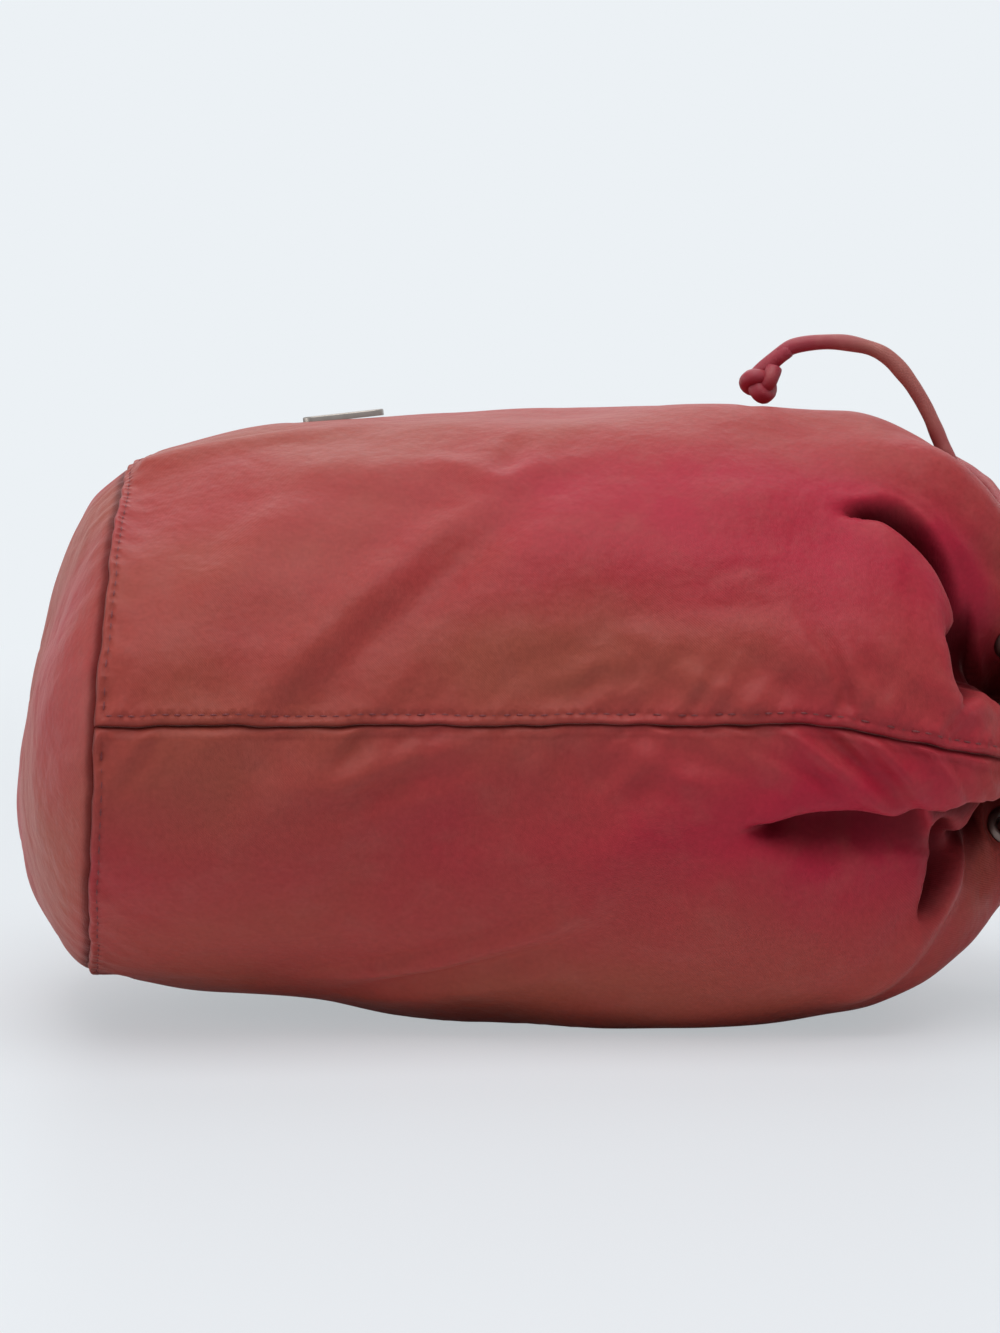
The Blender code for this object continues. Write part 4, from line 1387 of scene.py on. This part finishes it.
def smooth_route(points: list[Vector], step: float) -> list[Vector]:
    """Read evenly spaced points from a smooth curve that passes through a route's points.

    Args:
        points: the route's own points.
        step: distance between the points that are given back.

    Returns:
        Points along the curve, from its first point to its last.
    """
    ends = [points[0] * 2.0 - points[1]] + points + [points[-1] * 2.0 - points[-2]]
    fine: list[Vector] = []
    for before, start, end, after in zip(ends, ends[1:], ends[2:], ends[3:]):
        for part in range(24):
            t = part / 24.0
            fine.append(0.5 * (2.0 * start + (end - before) * t
                               + (2.0 * before - 5.0 * start + 4.0 * end - after) * t * t
                               + (3.0 * start - before - 3.0 * end + after) * t ** 3))
    fine.append(points[-1])
    walked = np.concatenate(([0.0], np.cumsum([(b - a).length for a, b in zip(fine, fine[1:])])))
    count = max(2, round(walked[-1] / step))
    goals = np.linspace(0.0, walked[-1], count + 1)
    spots = np.array(fine)
    return [Vector(spot) for spot in np.stack([np.interp(goals, walked, spots[:, k]) for k in range(3)], axis=-1)]


def route_length(points: list[Vector]) -> float:
    """Measure a route."""
    return sum((b - a).length for a, b in zip(points, points[1:]))


@dataclass
class RoundCord:
    """Cord in a folded and sewn nylon cover, with one lengthwise seam."""

    material: bpy.types.Material
    diameter: float = 3.6 * MM
    sides: int = 20
    step: float = 0.7 * MM
    seam_depth: float = 0.22 * MM
    seed: int = 41

    def sweep(self, name: str, route: list[Vector], tint: Curve, slim: float = 1.0,
              end_round: float = 1.0 * MM) -> tuple[bpy.types.Object, list[Vector]]:
        """Sweep the cord along a route.

        Args:
            name: name of the piece.
            route: the route's own points.
            tint: share of olive yarn that shows, by the share of the length.
            slim: share of the diameter that is used.
            end_round: distance over which the two ends close.

        Returns:
            The piece and the points that it follows.
        """
        path = smooth_route(route, self.step)
        spots = np.array(path)
        ahead = unit(np.gradient(spots, axis=0))
        side = np.zeros_like(ahead)
        last = Vector(ahead[0]).orthogonal().normalized()
        for i, heading in enumerate(ahead):
            heading = Vector(heading)
            last = (last - heading * last.dot(heading)).normalized()
            side[i] = last
        up = np.cross(ahead, side)
        count = len(path)
        walked = np.arange(count) * route_length(path) / (count - 1)
        total = walked[-1]
        from_end = np.minimum(walked, total - walked)
        lumps = 1.0 + 0.035 * drift(spots, 7.0 * MM, self.seed)
        closed = np.sqrt(np.clip(1.0 - (1.0 - from_end / end_round).clip(0.0, 1.0) ** 2, 0.0, 1.0))
        radius = 0.5 * self.diameter * slim * lumps * (0.12 + 0.88 * closed)
        kept: list[Points] = []

        def place(u: Points, v: Points) -> Points:
            """Give the cover's points round the path, and keep its tint there.

            Args:
                u: shares in the grid's first direction.
                v: shares in its second direction.

            Returns:
                One point to a row.
            """
            i = np.rint(u * (count - 1)).astype(int)
            angle = v * math.tau
            groove = self.seam_depth * bell(np.remainder(angle - 2.0 + math.pi, math.tau) * 2.6 - math.pi * 2.6)
            reach = radius[i] * (1.0 + 0.03 * np.cos(2.0 * angle)) - groove * closed[i]
            kept.append(tint.read(u))
            return spots[i] + reach[:, None] * (np.cos(angle)[:, None] * side[i] + np.sin(angle)[:, None] * up[i])

        def pattern(u: Points, v: Points) -> Points:
            """Give the weave's coordinates, in metres along and round the cord."""
            return np.stack((u * total, v * math.pi * self.diameter), axis=-1)

        sheet = bent_grid(count - 1, self.sides, place, pattern)
        keep_values(sheet, "olive", kept[0])
        bmesh.ops.remove_doubles(sheet, verts=sheet.verts, dist=0.01 * MM)
        edges = [edge for edge in sheet.edges if edge.is_boundary]
        bmesh.ops.holes_fill(sheet, edges=edges, sides=0)
        bmesh.ops.recalc_face_normals(sheet, faces=sheet.faces)
        piece = finish_piece(name, sheet, "cord_cloth", self.material)
        return piece, path


@dataclass
class Drawstring:
    """Cord drawn through the eyelets, with its two free ends and their knots."""

    form: ClothForm
    cord: RoundCord
    knot_reach: float = 1.05 * MM
    knot_height: float = 1.55 * MM
    near_knot: Vector = field(default_factory=lambda: Vector((44.3, 2.0, 143.9)) * MM)
    far_knot: Vector = field(default_factory=lambda: Vector((29.0, 54.7, 124.4)) * MM)
    neck_tint: Curve = Curve(((0.0, 0.5), (0.5, 0.6), (1.0, 0.5)))
    knot_tint: Curve = Curve(((0.0, 0.02), (1.0, 0.0)))
    free_tint: Curve = Curve(((0.0, 0.25), (0.3, 0.35), (0.5, 0.7), (0.72, 0.9), (0.88, 0.15), (1.0, 0.0)))
    near_route: tuple[tuple[float, float, float], ...] = (
        (0.0999, -0.0099, 0.1009), (0.1005, -0.0074, 0.1026), (0.1008, -0.0044, 0.1050),
        (0.0996, -0.0022, 0.1087), (0.0963, -0.0004, 0.1132), (0.0918, 0.0008, 0.1192),
        (0.0876, 0.0017, 0.1268), (0.0829, 0.0025, 0.1375), (0.0778, 0.0030, 0.1455),
        (0.0724, 0.0032, 0.1506), (0.0654, 0.0030, 0.1528), (0.0585, 0.0026, 0.1532),
        (0.0518, 0.0022, 0.1522), (0.0483, 0.0020, 0.1498))
    far_route: tuple[tuple[float, float, float], ...] = (
        (0.1000, 0.0050, 0.1020), (0.1005, 0.0027, 0.1033), (0.1013, 0.0022, 0.1068),
        (0.1018, 0.0056, 0.1116), (0.1012, 0.0126, 0.1154), (0.0980, 0.0199, 0.1196),
        (0.0914, 0.0280, 0.1239), (0.0828, 0.0343, 0.1269), (0.0735, 0.0394, 0.1274),
        (0.0640, 0.0434, 0.1269), (0.0548, 0.0470, 0.1254), (0.0457, 0.0496, 0.1240),
        (0.0385, 0.0513, 0.1235), (0.0340, 0.0525, 0.1238))

    def neck_route(self) -> list[Vector]:
        """Give the route through the twelve eyelets, out of one and into the next.

        Returns:
            The route's own points, from one free end to the other.
        """
        reach = self.form.fabric + self.form.gap + 0.5 * MM
        turns = self.form.flanks()
        order = [turn for turn in turns if turn < math.pi / 2.0][::-1]
        order += [turn for turn in turns if turn > math.pi / 2.0][::-1]
        seats = [self.form.seat(turn) for turn in order]
        route: list[Vector] = []
        ahead = -seats[0][1]
        for k, (centre, normal) in enumerate(seats):
            heading = normal * (1.0 if k % 2 else -1.0)
            if k:
                start, end = route[-1], centre - heading * reach
                pull = (end - start).length / 8.0
                route += [(start + end) / 2.0 + (ahead - heading) * pull, end]
            if k < len(seats) - 1:
                if not k:
                    route.append(centre + heading * self.form.gap / 2.0)
                route.append(centre + heading * reach)
            ahead = heading
        route.append(seats[-1][0] - ahead * self.form.gap / 2.0)
        return route

    def knot_route(self, centre: Vector, before: Vector, entry: Vector) -> list[Vector]:
        """Give the route of an overhand knot.

        Args:
            centre: middle of the knot.
            before: point of the cord where the knot's piece starts to cover it.
            entry: end of the cord's free stretch.

        Returns:
            The knot's own points, from the cord to the cut tail.
        """
        across = (centre - entry).normalized()
        side = Vector((0.0, 1.0, 0.0)).cross(across).normalized()
        up = across.cross(side)
        route = [before, entry]
        for part in range(25):
            t = math.pi + 0.45 + part / 24.0 * (math.tau - 0.9)
            x = self.knot_reach * (math.sin(t) + 2.0 * math.sin(2.0 * t))
            y = self.knot_reach * (math.cos(t) - 2.0 * math.cos(2.0 * t))
            z = -self.knot_height * math.sin(3.0 * t)
            route.append(centre + side * x + across * y + up * z)
        tail = (route[-1] - route[-2]).normalized()
        route.append(route[-1] + (tail + up * 0.6).normalized() * 3.2 * MM)
        return route

    def build(self) -> None:
        """Build the drawn stretch, the two free ends and the knots."""
        neck, _ = self.cord.sweep("drawstring_through_eyelets", self.neck_route(), self.neck_tint)
        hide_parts("drawstring_neck")
        for title, points, centre in (("near", self.near_route, self.near_knot),
                                      ("far", self.far_route, self.far_knot)):
            route = [Vector(point) for point in points]
            free, path = self.cord.sweep(f"drawstring_free_{title}", route, self.free_tint)
            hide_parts(f"drawstring_end_{title}")
            knot, _ = self.cord.sweep(f"overhand_knot_{title}", self.knot_route(centre, path[-6], path[-1]),
                                      self.knot_tint, slim=1.08)
            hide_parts(f"knot_{title}")


@dataclass
class Eyelets:
    """Twelve two-part eyelets, each a rolled flange and barrel with a washer behind the cloth."""

    form: ClothForm
    metal: bpy.types.Material
    steps: int = 40
    flange_height: float = 0.8 * MM
    washer_height: float = 0.5 * MM

    def turned(self, outline: list[tuple[float, float]], place: Matrix) -> bmesh.types.BMesh:
        """Spin a closed (radius, height) outline round an eyelet's axis.

        Args:
            outline: the outline's points in order.
            place: where the eyelet sits.

        Returns:
            The turned ring.
        """
        ring = bmesh.new()
        verts = [ring.verts.new((radius, 0.0, height)) for radius, height in outline]
        edges = [ring.edges.new((a, b)) for a, b in zip(verts, verts[1:] + verts[:1])]
        bmesh.ops.spin(ring, geom=verts + edges, cent=(0, 0, 0), axis=(0, 0, 1), dvec=(0, 0, 0),
                       angle=math.tau, steps=self.steps, use_merge=True, use_duplicate=False)
        bmesh.ops.remove_doubles(ring, verts=ring.verts, dist=0.005 * MM)
        bmesh.ops.recalc_face_normals(ring, faces=ring.faces)
        bmesh.ops.transform(ring, matrix=place, verts=ring.verts)
        return ring

    def build(self) -> None:
        """Set all the eyelets."""
        form = self.form
        barrel = form.bore_radius + form.eyelet_wall
        foot = -form.fabric - 2.0 * form.gap - self.washer_height
        crown = [(form.flange_radius - (form.flange_radius - form.bore_radius) * share,
                  form.gap * 0.3 + self.flange_height * math.sin(math.pi * min(share * 0.62 + 0.02, 1.0)) ** 0.7)
                 for share in np.linspace(0.0, 1.0, 11)]
        eyelet = crown + [(form.bore_radius - 0.02 * MM, foot + 0.3 * MM), (form.bore_radius + 0.3 * MM, foot),
                          (barrel, foot + 0.25 * MM), (barrel, form.gap * 0.3)]
        top = -form.fabric - form.gap
        hole = barrel + form.gap
        rim = 0.12 * MM
        washer = [(hole, top - self.washer_height + rim), (hole, top - rim), (hole + rim, top),
                  (form.flange_radius - rim, top), (form.flange_radius, top - rim),
                  (form.flange_radius, top - self.washer_height + rim),
                  (form.flange_radius - rim, top - self.washer_height),
                  (hole + rim, top - self.washer_height)]
        for number, turn in enumerate(form.flanks(), start=1):
            centre, normal = form.seat(turn)
            side = normal.orthogonal().normalized()
            place = Matrix((side, normal.cross(side), normal)).transposed().to_4x4()
            place.translation = centre
            for title, outline in (("eyelet", eyelet), ("eyelet_washer", washer)):
                ring = self.turned(outline, place)
                piece = finish_piece(f"{title}_ring_{number:02d}", ring, "eyelet_metal", self.metal)
                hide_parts(f"{title}_{number:02d}")


@dataclass
class FrontPlate:
    """Plain rounded plate, bare of any mark, held by two prongs through the cloth."""

    form: ClothForm
    metal: bpy.types.Material
    length: float = 18.6 * MM
    width: float = 11.0 * MM
    thickness: float = 1.5 * MM
    corner: float = 2.6 * MM
    edge: float = 0.35 * MM
    run: float = 54.0 * MM
    turn: float = 88.0

    def seat(self) -> Matrix:
        """Find where the plate sits on the front panel.

        Returns:
            The plate's place and turn.
        """
        run, turn = np.array([self.run]), np.array([math.radians(self.turn)])
        swing = math.radians(0.3)
        normal = Vector(self.form.axes(run, turn)[0][0])
        aside = Vector((self.form.point(run, turn + swing) - self.form.point(run, turn - swing))[0])
        ahead = aside.cross(normal).normalized()
        place = Matrix((ahead, normal.cross(ahead), normal)).transposed().to_4x4()
        place.translation = Vector(self.form.point(run, turn)[0])
        return place

    def build(self) -> None:
        """Build the plate and dress its backing."""
        plate = bmesh.new()
        low = 0.2 * MM
        middle = Matrix.Translation((0.0, 0.0, low + self.thickness / 2.0))
        size = Matrix.Diagonal((self.length, self.width, self.thickness, 1.0))
        bmesh.ops.create_cube(plate, size=1.0, matrix=middle @ size)
        upright = [edge for edge in plate.edges
                   if abs(edge.verts[0].co.z - edge.verts[1].co.z) > 0.5 * self.thickness]
        bmesh.ops.bevel(plate, geom=upright, offset=self.corner, offset_type="OFFSET", segments=8,
                        profile=0.5, affect="EDGES", material=-1)
        top = low + self.thickness
        rim = [edge for edge in plate.edges if all(abs(v.co.z - top) < 1e-6 for v in edge.verts)]
        bmesh.ops.bevel(plate, geom=rim, offset=self.edge, offset_type="OFFSET", segments=4,
                        profile=0.5, affect="EDGES", material=-1)
        bmesh.ops.transform(plate, matrix=self.seat(), verts=plate.verts)
        piece = finish_piece("front_plate_plain", plate, "plate_metal", self.metal)
        piece.data.set_sharp_from_angle(angle=math.radians(35.0))
        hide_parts("front_plate")
        dress_node("plate_backing", self.metal)


def dress_node(name: str, material: bpy.types.Material) -> None:
    """Give a CAD node that stays a better material.

    Args:
        name: name of the node.
        material: the material that it gets.
    """
    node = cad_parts[name]
    for holder in node.material_slots:
        holder.material = material


@dataclass(frozen=True)
class Studio:
    """Pale sweep, soft lights and the camera."""

    backdrop: str = "#ecf1f5"
    floor_tone: str = "#e2e5e9"
    focal_pixels: float = 4300.0
    image_height: float = 1333.0
    elevation: float = 6.0
    distance: float = 1.0
    target: tuple[float, float, float] = (-0.0160, 0.0, 0.0780)

    def world(self) -> None:
        """Set the light of the room, and the backdrop that the camera sees."""
        world = bpy.data.worlds.new("room")
        bpy.context.scene.world = world
        world.use_nodes = True
        tree = world.node_tree
        tree.nodes.clear()
        rays = add_node(tree, "ShaderNodeLightPath")
        seen = add_node(tree, "ShaderNodeMath", {"operation": "MAXIMUM"},
                        {0: rays.outputs["Is Camera Ray"], 1: rays.outputs["Is Glossy Ray"]})
        seen = add_node(tree, "ShaderNodeMath", {"operation": "MAXIMUM"},
                        {0: seen.outputs[0], 1: rays.outputs["Is Transmission Ray"]})
        room = add_node(tree, "ShaderNodeBackground", {"Color": linear("#f4f8fb"), "Strength": 0.27})
        back = add_node(tree, "ShaderNodeBackground", {"Color": linear(self.backdrop), "Strength": 1.0})
        mixed = add_node(tree, "ShaderNodeMixShader", {},
                         {0: seen.outputs[0], 1: room.outputs[0], 2: back.outputs[0]})
        add_node(tree, "ShaderNodeOutputWorld", {}, {"Surface": mixed.outputs[0]})

    def floor(self) -> None:
        """Lay a pale laminate floor that fades into the backdrop."""
        sheet = bmesh.new()
        bmesh.ops.create_grid(sheet, x_segments=8, y_segments=8, size=3.0)
        data = bpy.data.meshes.new("floor")
        sheet.to_mesh(data)
        sheet.free()
        floor = link_object("floor", data)
        material, shader, space = blank_material("white_laminate")
        tree = material.node_tree
        far = add_node(tree, "ShaderNodeVectorMath", {"operation": "LENGTH"}, {0: space.outputs["Object"]})
        fade = add_node(tree, "ShaderNodeMapRange",
                        {"From Min": 0.2, "From Max": 0.85, "To Min": 0.52, "interpolation_type": "SMOOTHSTEP"},
                        {"Value": far.outputs["Value"]})
        rays = add_node(tree, "ShaderNodeLightPath")
        faded = add_node(tree, "ShaderNodeMath", {"operation": "MULTIPLY"},
                         {0: fade.outputs[0], 1: rays.outputs["Is Camera Ray"]})
        glow = add_node(tree, "ShaderNodeEmission", {"Color": linear(self.backdrop), "Strength": 1.0})
        mixed = add_node(tree, "ShaderNodeMixShader", {},
                         {0: faded.outputs[0], 1: shader.outputs[0], 2: glow.outputs[0]})
        set_node(tree.nodes["Material Output"], {}, {"Surface": mixed.outputs[0]})
        set_node(shader, {"Base Color": linear(self.floor_tone), "Roughness": 0.42, "Specular IOR Level": 0.2}, {})
        data.materials.append(material)

    def light(self, name: str, spot: tuple[float, float, float], size: float, power: float) -> bpy.types.Object:
        """Hang one soft light that looks at the pouch.

        Args:
            name: name of the light.
            spot: where it hangs.
            size: width of its square face.
            power: power in watts.

        Returns:
            The lamp.
        """
        data = bpy.data.lights.new(name, "AREA")
        data.size = size
        data.energy = power
        lamp = link_object(name, data)
        lamp.location = spot
        aim = Vector((0.0, 0.0, 0.07)) - Vector(spot)
        lamp.rotation_euler = aim.to_track_quat("-Z", "Y").to_euler()
        return lamp

    def reflector(self) -> None:
        """Lay a white reflector in front of the pouch, out of the camera's sight."""
        lamp = self.light("front_reflector", (-0.01, -0.075, 0.002), 0.28, 0.009)
        lamp.data.shape = "RECTANGLE"
        lamp.data.size_y = 0.05
        lamp.rotation_euler = (math.pi, 0.0, 0.0)
        lamp.visible_camera = False

    def camera(self) -> None:
        """Set the camera at the photograph's angle."""
        data = bpy.data.cameras.new("camera")
        data.sensor_width = 36.0
        data.lens = self.focal_pixels / self.image_height * data.sensor_width
        data.clip_start = 0.01
        camera = link_object("camera", data)
        lift = math.radians(self.elevation)
        away = Vector((0.0, -math.cos(lift), math.sin(lift))) * self.distance
        camera.location = Vector(self.target) + away
        camera.rotation_euler = (math.radians(90.0) - lift, 0.0, 0.0)
        bpy.context.scene.camera = camera

    def build(self) -> None:
        """Set up the whole studio."""
        self.world()
        self.floor()
        self.light("overhead_softbox", (0.02, -0.36, 1.10), 1.0, 9.4)
        self.light("back_softbox", (-0.05, 0.75, 0.95), 0.9, 3.6)
        self.light("front_fill", (-0.6, -1.4, 0.6), 1.0, 0.25)
        self.light("left_fill", (-1.3, -0.1, 0.12), 0.8, 6.0)
        self.reflector()
        self.camera()
        bpy.context.scene.view_settings.view_transform = "Standard"


# Single folds, each listed as run, turn, heading, length, width, height and lean.
CREASES = (
    Crease(61, 20.5, 44, 92, 4.6, 1.3), Crease(67, 16.5, 44, 88, 4.6, -1.2),
    Crease(25, 33, 60, 35, 6.0, -0.6), Crease(33, 28, 55, 40, 6.0, 0.5),
    Crease(94, 53, 75, 16, 2.6, -0.8), Crease(86, 49, 150, 24, 3.0, 0.5), Crease(101, 50, 20, 26, 3.0, 0.4),
    Crease(28, 66, 12, 60, 4.0, 1.0), Crease(207, 62, 5, 52, 9.0, 2.6),
    Crease(83, -41.5, 22, 60, 2.2, 1.7, 0.5), Crease(86, -46, 22, 56, 3.6, -1.5), Crease(80, -18, 20, 60, 8.0, -1.8),
    Crease(67, -6.4, 18, 30, 2.8, 1.5), Crease(64, -10.5, 18, 34, 3.2, -1.3), Crease(102, -3.5, 62, 14, 2.2, 1.1),
    Crease(120, -9, 63, 16, 2.6, 1.0), Crease(118, -24, 40, 44, 6.0, 1.0), Crease(128, -35, 35, 50, 6.0, -1.0),
    Crease(171, 28, -30, 12, 2.2, -0.9), Crease(200, 9, 35, 12, 2.6, 1.4),
    Crease(40, -14, 35, 40, 5.0, 0.6), Crease(60, -24, 60, 34, 5.0, -0.5),
    Crease(168, -9, -36, 36, 2.6, 1.5, 0.4), Crease(171, -6, -36, 32, 2.6, -1.2), Crease(180, -5, -40, 22, 2.4, 1.0),
    Crease(152, -10, -34, 34, 3.0, 1.1, 0.4), Crease(128, -9, -38, 34, 3.0, 0.9), Crease(108, -7, -40, 28, 3.0, -0.7),
    Crease(196, -7, -20, 26, 3.0, 1.0), Crease(140, 5.5, -25, 26, 2.6, 0.9), Crease(152, 7, -35, 20, 2.4, -0.9),
    Crease(165, 7.5, -20, 24, 2.6, 1.0), Crease(118, 6, 30, 26, 2.6, 0.8), Crease(126, 9, 20, 18, 2.2, -0.7),
    Crease(178, 10, -15, 20, 2.4, 0.9), Crease(188, 5, -30, 20, 2.4, -0.8),
    Crease(143, 17, -12, 18, 1.2, -0.35), Crease(145, 22.5, -4, 14, 1.1, -0.28), Crease(159, 11, -45, 14, 1.6, 0.8),
    Crease(164, 9, -45, 12, 1.6, -0.8), Crease(171, 6.5, -55, 14, 1.6, 0.9), Crease(166, 6, -55, 12, 1.5, -0.8),
    Crease(204, 118, 0, 44, 9.0, -2.2), Crease(192, -80, 0, 66, 30.0, -4.5),
    Crease(128, 12, -30, 20, 2.2, 0.7), Crease(133, 10, -30, 18, 2.0, -0.7), Crease(110, 9, 20, 20, 2.2, 0.7),
    Crease(187, -43, 42, 46, 3.2, 1.7, 0.4), Crease(192, -46, 42, 42, 3.0, -1.2),
    Crease(70, 140, 130, 60, 5.0, -0.9), Crease(76, 136, 130, 56, 5.0, 0.8),
    Crease(110, 118, 20, 50, 4.0, 0.7), Crease(50, 100, 70, 36, 4.0, -0.7),
    Crease(120, 205, 25, 60, 5.0, -0.8), Crease(60, 196, 120, 46, 5.0, 0.7),
    Crease(130, 162, 150, 44, 4.5, 0.7), Crease(150, 100, 5, 44, 4.0, -0.6),
)

# Deep folds at the neck: path, depth, width, lip, overhang and radius; dark scales a fold's painted shade.
TUCKS = (
    Tuck(((168, 30.5), (172, 29), (180, 29.5), (189, 32), (197, 31), (201, 26), (202, 20)), 7.5, 4.0, 1.2, -2.6),
    Tuck(((199, 28), (197, 21), (195, 15), (199, 10)), 10.0, 5.5, 1.2, -2.8),
    Tuck(((203, 18), (208, 27), (214, 34)), 3.0, 6.0, 0.0, 0.0),
    Tuck(((144, -27.4), (150, -26.2), (160, -24.8), (172, -22), (184, -18.5), (190, -16.5)), 6.0, 4.8, 0.6, 2.0,
         dark=0.72),
    Tuck(((186, -42), (190, -34), (193, -26), (193, -18)), 6.0, 3.6, 1.4, 1.2, dark=0.85),
    Tuck(((188, -15.5), (196, -13), (204, -11.5), (216, -12)), 8.0, 4.4, 0.4, 2.6),
    Tuck(((198, -24), (206, -31), (216, -34)), 3.0, 5.0, 0.0, 0.0),
    Tuck(((172, 88), (184, 90), (196, 91), (208, 90.5)), 3.5, 2.6, 1.0, -1.0, 58.0),
    Tuck(((166, 153), (178, 151.5), (190, 149.5), (204, 149)), 4.5, 3.0, 1.2, 1.4, 60.0),
    Tuck(((176, 213), (188, 211.5), (200, 210), (210, 210)), 3.5, 2.6, 1.0, -1.0, 58.0),
    Tuck(((172, 272), (184, 271), (197, 269.5), (209, 270)), 3.0, 2.4, 0.8, 0.8, 55.0),
)

# Patches of one yarn: run, turn, reach along the run, reach round the turn and amount.
HUES = (
    HuePatch(168, 25, 45, 22, 0.62), HuePatch(125, 42, 45, 13, 0.40), HuePatch(120, 12, 48, 8, -0.42),
    HuePatch(40, 22, 45, 22, -0.22), HuePatch(130, 336, 58, 15, 0.42), HuePatch(30, 340, 32, 20, -0.20),
    HuePatch(180, 350, 28, 15, 0.28), HuePatch(172, 327, 28, 11, 0.45), HuePatch(90, 300, 70, 14, -0.15),
    HuePatch(110, 85, 70, 16, 0.05),
    HuePatch(95, 150, 55, 22, 0.42), HuePatch(165, 140, 40, 18, 0.30), HuePatch(50, 185, 50, 16, -0.25),
    HuePatch(150, 215, 60, 22, 0.38), HuePatch(70, 250, 50, 24, 0.20), HuePatch(235, 200, 30, 60, 0.20),
    HuePatch(206, 42, 16, 9, 0.45), HuePatch(207, 317, 14, 10, -0.50),
)


def main() -> None:
    """Build the dressed pouch and its studio."""
    logging.basicConfig(level=logging.INFO, format="%(name)s: %(message)s")
    finishes = Finishes()
    form = ClothForm()
    skin = ClothSkin(form, creases=CREASES, tucks=TUCKS)
    Studio().build()
    Drawstring(form, RoundCord(finishes.cord)).build()
    PouchCloth(skin, finishes, hues=HUES).build()
    Topstitching(skin, finishes.thread).build()
    Eyelets(form, finishes.eyelet).build()
    FrontPlate(form, finishes.plate).build()


if __name__ == "__main__":
    main()
